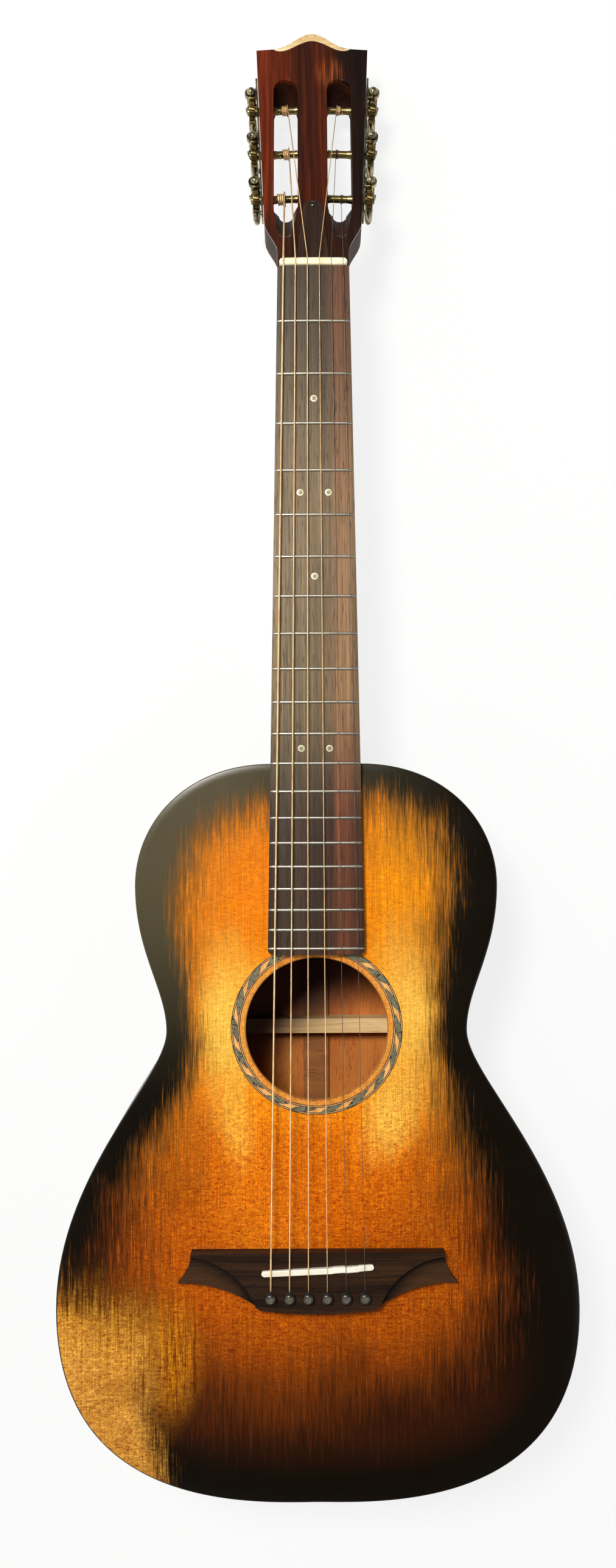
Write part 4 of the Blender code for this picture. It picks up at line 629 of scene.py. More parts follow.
def fingerboard_material():
    """Rosewood boards of grey-brown to red-brown bands, whose bands run the neck's length."""
    made = new_material("fingerboard_rosewood")
    vector = object_place(made, GUITAR_PLACE)
    x, y, _ = parts(vector)
    grain = use_group(GRAIN, {"Vector": vector, "Bands": 230.0, "Lines": 1500.0, "Length": 7.0,
                              "Wander": 0.10})
    side = calc("MULTIPLY_ADD", grain["Bands"] - 0.5, 0.010, x)
    base = ramp(ranged(side, -0.028, 0.028, 0.0, 1.0, "LINEAR"), [
        (0.0, (40, 32, 20)), (0.16, (68, 56, 38)), (0.34, (64, 48, 32)), (0.56, (50, 34, 20)),
        (0.66, (70, 40, 24)), (0.76, (128, 70, 42)), (0.88, (108, 58, 34)), (1.0, (64, 38, 20))])
    # Painted sheen: a lighter greyish reflection along the middle of the neck
    sheen = ranged(y, -0.045, 0.055) * ranged(y, 0.36, 0.14, 0.10, 1.0)
    base = mixed(sheen * 0.43, base, (168, 142, 100))
    # Painted shade: darker towards the nut end
    base = mixed(ranged(y, 0.15, 0.32, 0.0, 0.5), base, (44, 34, 22))
    base = mixed(ranged(y, 0.02, -0.06, 0.0, 0.35), base, (60, 36, 24))
    lines = ranged(grain["Lines"], 0.30, 0.72, 0.60, 1.34, "LINEAR")
    bands = ranged(grain["Bands"], 0.30, 0.70, 0.68, 1.24, "LINEAR")
    shade = mixed(grain["Pores"] * 0.6, tinted(base, lines * bands), (20, 14, 12))
    wear = use_group(WEAR, {"Vector": vector, "Roughness": 0.46, "Smudges": 0.15})
    return finished(made, {
        "Base Color": shade, "Roughness": wear["Roughness"], "Specular IOR Level": 0.25,
        "Normal": bumped(grain["Height"], 0.25, 0.0003)})


def veneer_material():
    """The head's polished veneer: long soft stripes, with painted light that runs from lit red-brown on the
    bass side to shaded near black on the treble side.
    """
    made = new_material("head_gloss")
    vector = object_place(made, HEAD_PLACE)
    x, y, _ = parts(vector)
    grain = use_group(GRAIN, {"Vector": vector, "Bands": 170.0, "Lines": 900.0, "Length": 5.0, "Wander": 0.5})
    # Painted light and shade across the head: the stripes' tones run from lit red-brown on the bass side to
    # shaded near black on the treble side
    side = calc("MULTIPLY_ADD", grain["Bands"] - 0.5, 0.045, x)
    shade = ramp(ranged(side, -0.036, 0.036, 0.0, 1.0, "LINEAR"), [
        (0.0, (108, 38, 12)), (0.22, (96, 34, 10)), (0.42, (48, 18, 7)), (0.58, (82, 30, 9)),
        (0.74, (40, 16, 6)), (1.0, (20, 9, 4))])
    # Painted highlight: a warm streaky glint on the treble side of the middle, near the upper end; the same
    # noise also makes the grain's darker streaks
    glint_and_streaks = noise(stretched(vector, (420, 14, 1)), 1.0, 3.0, 0.6)
    near = use_group(PATCH, {"X": x, "Y": y, "Center X": 0.011, "Center Y": 0.149, "Reach X": 0.013,
                             "Reach Y": 0.016})
    shade = mixed(near["Share"] * ranged(glint_and_streaks, 0.40, 0.62), shade, (140, 70, 26))
    shade = mixed(ranged(y, 0.050, 0.020, 0.0, 0.75), shade, (46, 27, 18))
    lines = ranged(grain["Lines"], 0.30, 0.70, 0.70, 1.22, "LINEAR") * ranged(glint_and_streaks, 0.36, 0.62, 0.62, 1.12)
    shade = mixed(grain["Pores"] * 0.30, tinted(shade, lines), (14, 6, 3))
    wear = use_group(WEAR, {"Vector": vector, "Roughness": 0.20, "Smudges": 0.10})
    return finished(made, {
        "Base Color": shade, "Roughness": wear["Roughness"], "Specular IOR Level": 0.22,
        "Normal": bumped(grain["Height"], 0.04, 0.0003)})


def wire_material(name, bright, dull, wound=True):
    """String wire; a wound string's wrap is read from the piece's own lengthwise map."""
    made = new_material(name)
    around, along, _ = parts(add_node("ShaderNodeUVMap", tree=made.node_tree, uv_map="wire")["UV"])
    shade = mixed(ranged(noise(object_place(made), 90.0, 3.0), 0.4, 0.75), bright, dull)
    values = {"Metallic": 0.7, "Roughness": 0.34}
    if wound:
        wave = calc("ABSOLUTE", calc("SINE", (along + around) * math.pi))
        # Painted shade: the grooves between the wrap's turns are darkened
        shade = mixed(ranged(wave, 0.45, 0.0, 0.0, 0.6), shade, (146, 96, 54))
        values["Normal"] = bumped(wave, 0.5, 0.0001)
    return finished(made, {**values, "Base Color": shade})


def plain_material(name, shade, second, roughness=0.3, coat=0.0):
    """A smooth dark or painted finish with faint smudges."""
    made = new_material(name)
    wear = use_group(WEAR, {"Vector": object_place(made), "Roughness": roughness, "Smudges": 0.2,
                            "Scale": 60.0})
    return finished(made, {
        "Base Color": mixed(wear["Smudge"], shade, second), "Roughness": wear["Roughness"],
        "Coat Weight": coat, "Normal": bumped(wear["Scratches"], 0.05, 0.0001)})


SUNBURST = sunburst_material()
BARE_SPRUCE = wood_material("bare_spruce", GUITAR_PLACE, (196, 150, 92), (226, 186, 128), (150, 100, 54),
                            bands=160.0, lines=1300.0, roughness=0.7)
HOLE_EDGE = wood_material("hole_edge", GUITAR_PLACE, (196, 124, 58), (224, 158, 88), (120, 70, 30),
                          bands=160.0, lines=1300.0, roughness=0.6)
# The brace, inner back and back strip carry a painted shadow from the sound hole's rim in their shaded
# colours
BRACE_WOOD = wood_material("brace_wood", GUITAR_PLACE, (232, 184, 118), (250, 218, 160), (196, 146, 86),
                           True, 200.0, 1500.0, roughness=0.7, shaded=(64, 34, 18))
INNER_BACK = wood_material("inner_back", GUITAR_PLACE, (188, 100, 28), (214, 130, 46), (160, 76, 24),
                           False, 80.0, 900.0, 14.0, 0.65, shaded=(70, 30, 16))
INNER_STRIP = wood_material("inner_strip", GUITAR_PLACE, (134, 78, 30), (166, 102, 44), (98, 50, 22),
                            True, 90.0, 900.0, roughness=0.7, shaded=(56, 24, 14))
DARK_SIDES = wood_material("dark_sides", GUITAR_PLACE, (24, 13, 8), (56, 31, 18), (14, 9, 7),
                           False, 70.0, 900.0, 10.0, 0.34, 0.15, 0.08, 0.2, 0.3)
DARK_BACK = wood_material("dark_back", GUITAR_PLACE, (46, 24, 15), (84, 44, 26), (26, 13, 9),
                          False, 70.0, 900.0, 10.0, 0.36, 0.35, 0.08, 0.18)
NECK_WOOD = wood_material("neck_wood", HEAD_PLACE, (30, 13, 8), (60, 26, 15), (16, 8, 6),
                          False, 80.0, 900.0, 10.0, 0.46, bump=0.08, shine=0.10)
HEAD_GLOSS = veneer_material()
COVER_GLOSS = wood_material("cover_gloss", HEAD_PLACE, (36, 23, 15), (62, 40, 27), (22, 15, 11),
                            False, 120.0, 900.0, roughness=0.36, bump=0.06, shine=0.25)
CREST_CREAM = wood_material("crest_cream", HEAD_PLACE, (206, 172, 116), (240, 218, 168), (180, 140, 88),
                            True, 70.0, 500.0, 20.0, 0.34, 0.5, 0.04)
BRIDGE_WOOD = wood_material("bridge_wood", GUITAR_PLACE, (22, 12, 6), (62, 38, 20), (10, 6, 4),
                            True, 150.0, 1400.0, 9.0, 0.5, bump=0.3, shine=0.15, with_carving_shading=True)
ROSETTE_WOOD = wood_material("rosette_wood", GUITAR_PLACE, (214, 146, 72), (240, 184, 108), (170, 104, 44),
                             False, 200.0, 1200.0, roughness=0.5, shine=0.25)
FINGERBOARD = fingerboard_material()
BRASS = metal_material("aged_brass", (186, 174, 136), (44, 38, 26), 0.26, 0.75)
POST_BRASS = metal_material("post_brass", (150, 130, 84), (58, 46, 26), 0.30, 0.6)
FRET_METAL = metal_material("fret_metal", (190, 184, 170), (164, 156, 142), 0.38, 0.0, 40.0)
DARK_SCREW = metal_material("dark_screw", (96, 92, 84), (24, 22, 20), 0.22, 0.7)
BONE = bone_material("nut_bone", (250, 242, 214), (232, 214, 166))
SADDLE_BONE = bone_material("saddle_bone", (250, 246, 230), (232, 226, 200), 0.28)
PIN_BLACK = plain_material("pin_black", (12, 11, 10), (30, 28, 26), 0.25, 0.4)
DOT_EYE = plain_material("dot_eye", (120, 112, 84), (150, 142, 108), 0.3)
PURFLING_BLACK = plain_material("purfling_black", (16, 11, 8), (26, 18, 12), 0.5)
PURFLING_PALE = plain_material("purfling_pale", (196, 146, 82), (220, 174, 112), 0.5)
ABALONE = shell_material("abalone", [
    (0.44, (18, 18, 15)), (0.50, (146, 138, 112)), (0.54, (24, 24, 20)), (0.58, (172, 164, 134)),
    (0.61, (30, 32, 26)), (0.65, (166, 158, 128)), (0.68, (90, 156, 96)), (0.71, (66, 132, 124)),
    (0.76, (20, 20, 18))], 340.0, 0.3)
PIN_SHELL = shell_material("pin_shell", [
    (0.34, (16, 17, 14)), (0.45, (62, 60, 50)), (0.51, (116, 110, 92)), (0.56, (34, 37, 29)),
    (0.64, (134, 126, 106))])
PIN_RING = shell_material("pin_ring", [(0.36, (36, 34, 28)), (0.5, (92, 86, 70)), (0.64, (58, 55, 46))])
PEARL = shell_material("pearl", [
    (0.30, (176, 166, 130)), (0.5, (222, 214, 178)), (0.7, (198, 196, 168))], 300.0, 0.25)
BRONZE = wire_material("bronze_wire", (252, 216, 162), (228, 178, 118))
PLAIN_WIRE = wire_material("plain_wire", (120, 104, 88), (70, 58, 48), False)


# Mesh building

def loft(rings, shape=None, capped=True):
    """Skin between rings of the same count, closed at both ends if asked."""
    shape = shape or bmesh.new()
    made = [[shape.verts.new(p) for p in ring] for ring in rings]
    for lower, upper in zip(made, made[1:]):
        for i in range(len(lower)):
            j = (i + 1) % len(lower)
            shape.faces.new((lower[i], lower[j], upper[j], upper[i]))
    if capped:
        shape.faces.new(made[0][::-1])
        shape.faces.new(made[-1])
    return shape


def around(steps, start=0.0, sweep=2 * math.pi, closed=False):
    """(cosine, sine) at even steps round a circle or, closed, along an arc with both its ends."""
    angles = [start + sweep * i / steps for i in range(steps + closed)]
    return [(math.cos(angle), math.sin(angle)) for angle in angles]


def turned(profile, axis="Z", steps=32, center=(0, 0, 0), shape=None):
    """A round body about an axis, from (distance along it, radius) pairs."""
    rings = []
    for along, radius in profile:
        ring = []
        for cosine, sine in around(steps):
            a, b = radius * cosine, radius * sine
            point = {"X": (along, a, b), "Y": (b, along, a), "Z": (a, b, along)}[axis]
            ring.append(Vector(center) + Vector(point))
        rings.append(ring)
    return loft(rings, shape)


def bezier(p0, p1, p2, p3, steps):
    """Points on a cubic curve, without its last one."""
    points = []
    for i in range(steps):
        t = i / steps
        u = 1 - t
        weights = (u * u * u, 3 * u * u * t, 3 * u * t * t, t * t * t)
        points.append(sum((Vector(p) * w for p, w in zip((p0, p1, p2, p3), weights)), Vector((0, 0))))
    return points


def link_mesh(name, mesh, materials):
    """A mesh as an object at the origin."""
    made = bpy.data.objects.new(name, mesh)
    bpy.context.collection.objects.link(made)
    for finish in materials:
        mesh.materials.append(finish)
    return made


def smooth_mesh(mesh, angle):
    """Smooth shading, with the edges sharper than an angle kept crisp."""
    mesh.polygons.foreach_set("use_smooth", [True] * len(mesh.polygons))
    mesh.set_sharp_from_angle(angle=math.radians(angle))


def soften(piece, width, segments=2, angle=40):
    """A small rounded edge, as a live Bevel."""
    bevel = piece.modifiers.new("rounded_edges", "BEVEL")
    bevel.width = width
    bevel.segments = segments
    bevel.limit_method = "ANGLE"
    bevel.angle_limit = math.radians(angle)
    bevel.harden_normals = False
    return piece


def add_piece(name, shape, matrix, materials, body, stands_for=(), angle=35, merge=True):
    """A bmesh placed in the scene: it rides on a body and stands for CAD nodes."""
    if merge:
        bmesh.ops.remove_doubles(shape, verts=shape.verts, dist=1e-6)
    bmesh.ops.recalc_face_normals(shape, faces=shape.faces)
    shape.transform(matrix)
    mesh = bpy.data.meshes.new(name)
    shape.to_mesh(mesh)
    shape.free()
    smooth_mesh(mesh, angle)
    piece = link_mesh(name, mesh, materials)
    return hand_over(piece, body, stands_for)


def hand_over(piece, body, stands_for=()):
    """Tell the frame what a finished piece rides on and stands for."""
    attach(piece, body)
    if stands_for:
        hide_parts(*stands_for)
    return piece


def cad_copy(node, name, finish, bevel=0.0, angle=35):
    """A CAD solid's own shape with its doubles merged, smooth shading and softened edges."""
    shape = bmesh.new()
    shape.from_mesh(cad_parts[node].data)
    bmesh.ops.remove_doubles(shape, verts=shape.verts, dist=2e-6)
    bmesh.ops.dissolve_limit(shape, angle_limit=math.radians(0.6), verts=shape.verts, edges=shape.edges)
    mesh = bpy.data.meshes.new(name)
    shape.to_mesh(mesh)
    shape.free()
    smooth_mesh(mesh, angle)
    piece = link_mesh(name, mesh, [finish])
    if bevel:
        soften(piece, bevel)
    return hand_over(piece, "guitar", (node,))


def dress_node(node, finish):
    """A CAD node that stays, with a better material."""
    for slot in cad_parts[node].material_slots:
        slot.material = finish


# Shapes that more than one piece follows

def half_outline(fine=4):
    """The treble half of the body's edge, from the neck joint round to the tail."""
    ends = ((NECK_LAND, 0), (UPPER_HALF, -UPPER_AT), (WAIST_HALF, -WAIST_AT), (LOWER_HALF, -LOWER_AT),
            (0, -BODY_LENGTH))
    handles = (
        ((NECK_LAND + SHOULDER_HANDLE, 0), (UPPER_HALF, -UPPER_AT + UPPER_HANDLE_IN), 8),
        ((UPPER_HALF, -UPPER_AT - UPPER_HANDLE_OUT), (WAIST_HALF, -WAIST_AT + WAIST_HANDLE_IN), 6),
        ((WAIST_HALF, -WAIST_AT - WAIST_HANDLE_OUT), (LOWER_HALF, -LOWER_AT + LOWER_HANDLE_IN), 9),
        ((LOWER_HALF, -LOWER_AT - LOWER_HANDLE_OUT), (TAIL_HANDLE, -BODY_LENGTH), 12))
    points = [Vector((NECK_LAND * i / fine, 0)) for i in range(fine)]
    for start, end, (leaving, coming, share) in zip(ends, ends[1:], handles):
        points += bezier(start, leaving, coming, end, share * fine)
    return points + [Vector((0, -BODY_LENGTH))]


def body_outline(inset=0.0):
    """The whole body's edge, moved inwards by a distance."""
    half = half_outline()
    moved = []
    for i, point in enumerate(half):
        before, after = half[max(i - 1, 0)], half[min(i + 1, len(half) - 1)]
        along = (after - before).normalized()
        if i in (0, len(half) - 1):
            along = Vector((1, 0)) if i == 0 else Vector((-1, 0))
        moved.append(point + Vector((along.y, -along.x)) * inset)
    return moved + [Vector((-p.x, p.y)) for p in moved[1:-1]][::-1]


def edge_distance(outline, point):
    """How far a point lies from the body's edge."""
    least = math.inf
    for a, b in zip(outline, outline[1:] + outline[:1]):
        run = b - a
        share = max(0.0, min(1.0, (point - a).dot(run) / run.length_squared))
        least = min(least, (a + run * share - point).length)
    return least


def back_face(x, y):
    """Height of the back's outer face, flat along the middle and arched towards the edges."""
    beyond = max(0.0, abs(x) - BACK_FLAT_HALF)
    return -DEPTH_NECK + BACK_SLOPE * y + beyond * beyond / (2 * BACK_ARCH_RADIUS)


def board_half(y):
    """Half the fretboard's width at a place along the neck."""
    slope = (BOARD_WIDTH_BODY - BOARD_WIDTH_NUT) / NUT_Y
    return (BOARD_WIDTH_BODY - slope * y) / 2


def crowned(height, x):
    """A height at the centre line, lowered at x by the fretboard's radius."""
    return height - x * x / (2 * BOARD_RADIUS)


def board_top():
    """Height of the fretboard's face on the centre line."""
    half = BOARD_WIDTH_BODY / 2
    return SEAT + BOARD_EDGE + half * half / (2 * BOARD_RADIUS)


def fret_y(number):
    """Place of a fret along the neck."""
    return NUT_Y - SCALE_LENGTH * (1 - 2 ** (-number / 12))


BOARD_END = fret_y(FRET_COUNT) - BOARD_OVERHANG


def string_share(index):
    """Place of a string across the neck, from -0.5 on the bass side to 0.5."""
    return index / (STRING_COUNT - 1) - 0.5


def string_at_nut(index):
    """Centre of a string over the nut."""
    x = STRING_SPREAD_NUT * string_share(index)
    height = board_top() + FRET_HEIGHT + ACTION_NUT
    return Vector((x, NUT_Y, crowned(height, x) + STRING_DIAMETERS[index] / 2))


def string_at_saddle(index):
    """Centre of a string over the saddle."""
    x = STRING_SPREAD_SADDLE * string_share(index)
    height = board_top() + FRET_HEIGHT + 2 * ACTION_BODY_FRET - ACTION_NUT
    y = SADDLE_Y + x * math.tan(SADDLE_SLANT)
    return Vector((x, y, crowned(height, x) + STRING_DIAMETERS[index] / 2))


def pin_x(index):
    """Place of a bridge pin across the bridge."""
    return PIN_SPACING * (index - (STRING_COUNT - 1) / 2)


def head_crest(x):
    """Place along the head of its end, at a distance from the centre line."""
    share = min(1.0, abs(x) / CORNER_HALF)
    bump = (1 + math.cos(math.pi * min(1, share * 1.5))) / 2
    return CORNER_AT + CREST_FOOT * (1 - share) + (CREST_AT - CORNER_AT - CREST_FOOT) * bump


# Body

def edge_rings():
    """The body's outline as its edge rounds over, each with its distance from the plate's face."""
    rings = []
    for turn in (30, 60, 90):
        angle = math.radians(turn)
        rings.append((body_outline(EDGE_ROUND * (1 - math.sin(angle))), EDGE_ROUND * (1 - math.cos(angle))))
    return rings


def build_top():
    """The soundboard with a rounded edge, its sound hole, and each point's distance to the edge."""
    outline, inner_edge = body_outline(), body_outline(EDGE_ROUND)
    hole_center = Vector((0, HOLE_Y))
    hole = [hole_center + (p - hole_center).normalized() * HOLE_RADIUS for p in outline]
    shape = bmesh.new()
    distance = shape.verts.layers.float.new("edge")
    steps = 30
    rings = []
    for i in range(steps + 1):
        ring = [a.lerp(b, i / steps) for a, b in zip(hole, inner_edge)]
        rings.append([(p, 0.0, edge_distance(outline, p)) for p in ring])
    rings += [[(p, -drop, 0.0) for p in ring] for ring, drop in edge_rings()]
    rings.append([(p, -TOP_THICKNESS, 0.0) for p in outline])
    made = []
    for ring in rings:
        row = []
        for p, z, reach in ring:
            vert = shape.verts.new((p.x, p.y, z))
            vert[distance] = reach
            row.append(vert)
        made.append(row)
    under = [shape.verts.new((p.x, p.y, -TOP_THICKNESS)) for p in hole]
    count = len(outline)
    for lower, upper in zip(made, made[1:]):
        for i in range(count):
            j = (i + 1) % count
            shape.faces.new((lower[i], upper[i], upper[j], lower[j]))
    for i in range(count):
        j = (i + 1) % count
        shape.faces.new((made[0][j], under[j], under[i], made[0][i])).material_index = 1
        shape.faces.new((under[i], under[j], made[-1][j], made[-1][i])).material_index = 2
    add_piece("soundboard_top", shape, GUITAR, [SUNBURST, HOLE_EDGE, BARE_SPRUCE], "guitar",
              ("soundboard",), 30)


def build_rim():
    """Bent sides, from under the top to the back plate."""
    heights = 6
    rings = []
    for outline, order in ((body_outline(), 1), (body_outline(SIDE_THICKNESS), -1)):
        for i in range(heights + 1)[::order]:
            ring = []
            for p in outline:
                low = back_face(p.x, p.y) + BACK_THICKNESS
                ring.append((p.x, p.y, -TOP_THICKNESS + (low + TOP_THICKNESS) * (i / heights)))
            rings.append(ring)
    rings.append(rings[0])
    rim = add_piece("body_rim", loft(rings, capped=False), GUITAR, [DARK_SIDES, INNER_BACK], "guitar",
                    ("side_bass", "side_treble"), 30)
    center = GUITAR @ Vector((0, -BODY_LENGTH / 2, 0))
    for face in rim.data.polygons:
        flat = Vector((face.center.x - center.x, face.center.y - center.y))
        if flat.dot(Vector((face.normal.x, face.normal.y))) < 0 and abs(face.normal.z) < 0.5:
            face.material_index = 1


def build_back():
    """The arched back plate with a rounded edge."""
    outline, inner_edge = body_outline(), body_outline(EDGE_ROUND)
    middle = Vector((0, -WAIST_AT))
    steps = 16
    rings = [([middle.lerp(p, i / steps) for p in inner_edge], 0.0) for i in range(1, steps + 1)]
    rings += edge_rings() + [(outline, BACK_THICKNESS)]
    for i in range(steps - 1, 0, -1):
        rings.append(([middle.lerp(p, i / steps) for p in outline], BACK_THICKNESS))
    raised = [[(p.x, p.y, back_face(p.x, p.y) + rise) for p in ring] for ring, rise in rings]
    plate = add_piece("back_plate_arched", loft(raised), GUITAR, [DARK_BACK, INNER_BACK], "guitar",
                      ("back_plate",), 30)
    for face in plate.data.polygons:
        if face.normal.z > 0.5:
            face.material_index = 1


def geometry_tree(name, inputs):
    """An empty Geometry Nodes tree with named inputs: the tree, its inputs' values and its result node."""
    return new_group(name, "GeometryNodeTree", inputs, [("Geometry", "Geometry")])


def moved(geometry, **change):
    """Geometry with its points' Position or Offset set."""
    return add_node("GeometryNodeSetPosition", {"Geometry": geometry, **change})["Geometry"]


def copied(points, instance, **change):
    """Real copies of a shape on points."""
    copies = add_node("GeometryNodeInstanceOnPoints", {"Points": points, "Instance": instance, **change})
    return add_node("GeometryNodeRealizeInstances", {"Geometry": copies["Instances"]})["Geometry"]


def leaf_tree():
    """Geometry Nodes: a ring of slanted leaves for the rosette."""
    tree, given, result = geometry_tree("rosette_leaves", [
        ("Ring Radius", "Float"), ("Leaves", "Int"), ("Leaf Length", "Float"), ("Leaf Width", "Float"),
        ("Slant", "Float"), ("Seed", "Int", 3)])
    circle = add_node("GeometryNodeMeshCircle", {"Vertices": given["Leaves"], "Radius": given["Ring Radius"]})
    spot = add_node("GeometryNodeInputPosition", tree=tree)["Position"]
    outward = add_node("FunctionNodeAlignRotationToVector", {"Vector": spot}, axis="Y")["Rotation"]
    inputs = {"Rotation": outward, "Rotate By": joined(Z=given["Slant"])}
    twisted = add_node("FunctionNodeRotateRotation", inputs, rotation_space="LOCAL")["Rotation"]
    leaf = add_node("GeometryNodeMeshCircle", {"Vertices": 24, "Radius": 1.0}, tree, fill_type="NGON")["Mesh"]
    x, y, _ = parts(add_node("GeometryNodeInputPosition", tree=tree)["Position"])
    narrow = 1.0 - x * x * 0.8
    shaped = moved(leaf, Position=joined(X=x * (given["Leaf Length"] * 0.5),
                                         Y=y * narrow * (given["Leaf Width"] * 0.5)))
    inputs = {2: 0.86, 3: 1.08, "Seed": given["Seed"]}
    size = add_node("FunctionNodeRandomValue", inputs, data_type="FLOAT")[1]
    leaves = copied(circle["Mesh"], shaped, Rotation=twisted, Scale=size)
    set_inputs(result, {"Geometry": leaves})
    return tree


def from_nodes(name, tree, values, matrix, finish, thickness=0.0):
    """The plain mesh that a Geometry Nodes tree makes, as an object at the origin."""
    maker = bpy.data.objects.new(name + "_maker", bpy.data.meshes.new(name + "_maker"))
    bpy.context.collection.objects.link(maker)
    modifier = maker.modifiers.new("shape", "NODES")
    modifier.node_group = tree
    for item in tree.interface.items_tree:
        if item.item_type == "SOCKET" and item.in_out == "INPUT" and item.name in values:
            modifier[item.identifier] = values[item.name]
    bpy.context.view_layer.update()
    view = bpy.context.evaluated_depsgraph_get()
    mesh = bpy.data.meshes.new_from_object(maker.evaluated_get(view), depsgraph=view)
    bpy.data.objects.remove(maker)
    mesh.name = name
    if thickness:
        shape = bmesh.new()
        shape.from_mesh(mesh)
        raised = bmesh.ops.extrude_face_region(shape, geom=list(shape.faces))
        top = [item for item in raised["geom"] if isinstance(item, bmesh.types.BMVert)]
        bmesh.ops.translate(shape, vec=(0, 0, thickness), verts=top)
        bmesh.ops.recalc_face_normals(shape, faces=shape.faces)
        shape.to_mesh(mesh)
        shape.free()
    mesh.transform(matrix)
    mesh.materials.clear()
    return link_mesh(name, mesh, [finish])


def flat_ring(inner, outer, low, high, shape=None, steps=160):
    """A ring of rectangular section about the sound hole's centre."""
    section = ((inner, low), (outer, low), (outer, high), (inner, high), (inner, low))
    rings = [[(radius * c, HOLE_Y + radius * s, z) for c, s in around(steps)] for radius, z in section]
    return loft(rings, shape, False)


def build_rosette():
    """Inlaid rosette: a pale ring of wood, black and pale lines, and slanted shell leaves."""
    low, face = -0.4 * MM, 0.05 * MM
    add_piece("rosette_band", flat_ring(ROSETTE_INNER, ROSETTE_OUTER, low, face), GUITAR,
              [ROSETTE_WOOD], "guitar")
    line = 0.48 * MM
    dark, pale = bmesh.new(), bmesh.new()
    for radius in (ROSETTE_INNER, ROSETTE_INNER + 2 * line, ROSETTE_OUTER - 3 * line, ROSETTE_OUTER - line):
        flat_ring(radius, radius + line, low, face + 0.03 * MM, dark)
    for radius in (ROSETTE_INNER + line, ROSETTE_OUTER - 2 * line):
        flat_ring(radius, radius + line, low, face + 0.02 * MM, pale)
    add_piece("rosette_dark_lines", dark, GUITAR, [PURFLING_BLACK], "guitar")
    add_piece("rosette_pale_lines", pale, GUITAR, [PURFLING_PALE], "guitar")
    place = GUITAR @ Matrix.Translation((0, HOLE_Y, face + 0.005 * MM))
    tree = leaf_tree()
    for name, length, width, lift, finish in (
            ("rosette_leaf_borders", 18.2 * MM, 3.9 * MM, 0.0, PURFLING_BLACK),
            ("rosette_leaves", 16.8 * MM, 3.3 * MM, 0.02 * MM, ABALONE)):
        leaves = from_nodes(name, tree, {
            "Ring Radius": (ROSETTE_INNER + ROSETTE_OUTER) / 2, "Leaves": ROSETTE_LEAVES,
            "Leaf Length": length, "Leaf Width": width, "Slant": math.radians(11)},
            place @ Matrix.Translation((0, 0, lift)), finish, 0.02 * MM)
        hand_over(leaves, "guitar")


def build_end_pin():
    """A black strap pin in the tail block."""
    face = -BODY_LENGTH - SEAT
    profile = []
    for past, share in ((-12, 0.5), (0, 0.57), (0, 0.9), (1.2, 0.86), (3.6, 0.55), (5.6, 0.62), (7.0, 1),
                        (8.2, 0.94), (END_PIN_LENGTH / MM, 0.55)):
        profile.append((face - past * MM, END_PIN_RADIUS * share))
    shape = turned(profile, axis="Y", steps=40, center=(0, 0, END_PIN_Z))
    add_piece("strap_pin", shape, GUITAR, [PIN_BLACK], "guitar", ("end_pin",), 50)


# Neck and fretboard

def build_fingerboard():
    """Radiused fretboard with rounded corners at the body end."""
    stations = []
    for cosine, sine in around(6, 0.0, math.pi / 2, True):
        stations.append((BOARD_END + BOARD_CORNER * (1 - sine), BOARD_CORNER * (1 - cosine)))
    stations = sorted(stations)
    length, across = 40, 16
    for i in range(1, length + 1):
        y = BOARD_END + BOARD_CORNER + (NUT_Y - BOARD_END - BOARD_CORNER) * i / length
        stations.append((y, 0.0))
    rings = []
    for y, less in stations:
        half = board_half(y) - less
        ring = [(-half, y, SEAT), (half, y, SEAT)]
        for i in range(across + 1):
            x = half * (1 - 2 * i / across)
            ring.append((x, y, crowned(board_top(), x)))
        rings.append(ring)
    board = add_piece("fingerboard", loft(rings), GUITAR, [FINGERBOARD], "guitar",
                      ("fretboard",), 35)
    soften(board, 0.35 * MM, 2, 50)


def fret_tree():
    """Geometry Nodes: frets at the scale's own places, as wide as the board and crowned to its radius."""
    tree, given, result = geometry_tree("fret_row", [
        ("Count", "Int"), ("Scale Length", "Float"), ("Nut Place", "Float"), ("Board Half", "Float"),
        ("Board Slope", "Float"), ("Board Top", "Float"), ("Board Radius", "Float"), ("Fret Width", "Float"),
        ("Fret Height", "Float")])
    row = add_node("GeometryNodeMeshLine", {"Count": given["Count"]})["Mesh"]
    number = add_node("GeometryNodeInputIndex", tree=tree)["Index"] + 1.0
    share = add_node("ShaderNodeMath", {0: 2.0, 1: number / -12.0}, operation="POWER")[0]
    along = given["Nut Place"] - (1.0 - share) * given["Scale Length"]
    placed = moved(row, Position=joined(Y=along, Z=given["Board Top"]))
    half = given["Board Half"] - along * given["Board Slope"]
    kept = add_node("GeometryNodeStoreNamedAttribute", {"Geometry": placed, "Name": "reach", "Value": half},
                    data_type="FLOAT", domain="POINT")["Geometry"]
    bead = add_node("GeometryNodeMeshCylinder", {
        "Vertices": 24, "Side Segments": 28, "Fill Segments": 3, "Radius": 1.0, "Depth": 2.0}, tree)["Mesh"]
    x, y, z = parts(add_node("GeometryNodeInputPosition", tree=tree)["Position"])
    ends = ranged(calc("ABSOLUTE", z), 0.955, 1.0, 1.0, 0.35)
    laid = moved(bead, Position=joined(X=z, Y=x * ends * (given["Fret Width"] * 0.5),
                                       Z=y * ends * given["Fret Height"]))
    reach = add_node("GeometryNodeInputNamedAttribute", {"Name": "reach"}, tree, data_type="FLOAT")
    copies = copied(kept, laid, Scale=joined(X=reach["Attribute"], Y=1.0, Z=1.0))
    across = parts(add_node("GeometryNodeInputPosition", tree=tree)["Position"])["X"]
    drop = across * across / (given["Board Radius"] * -2.0)
    set_inputs(result, {"Geometry": moved(copies, Offset=joined(Z=drop))})
    return tree


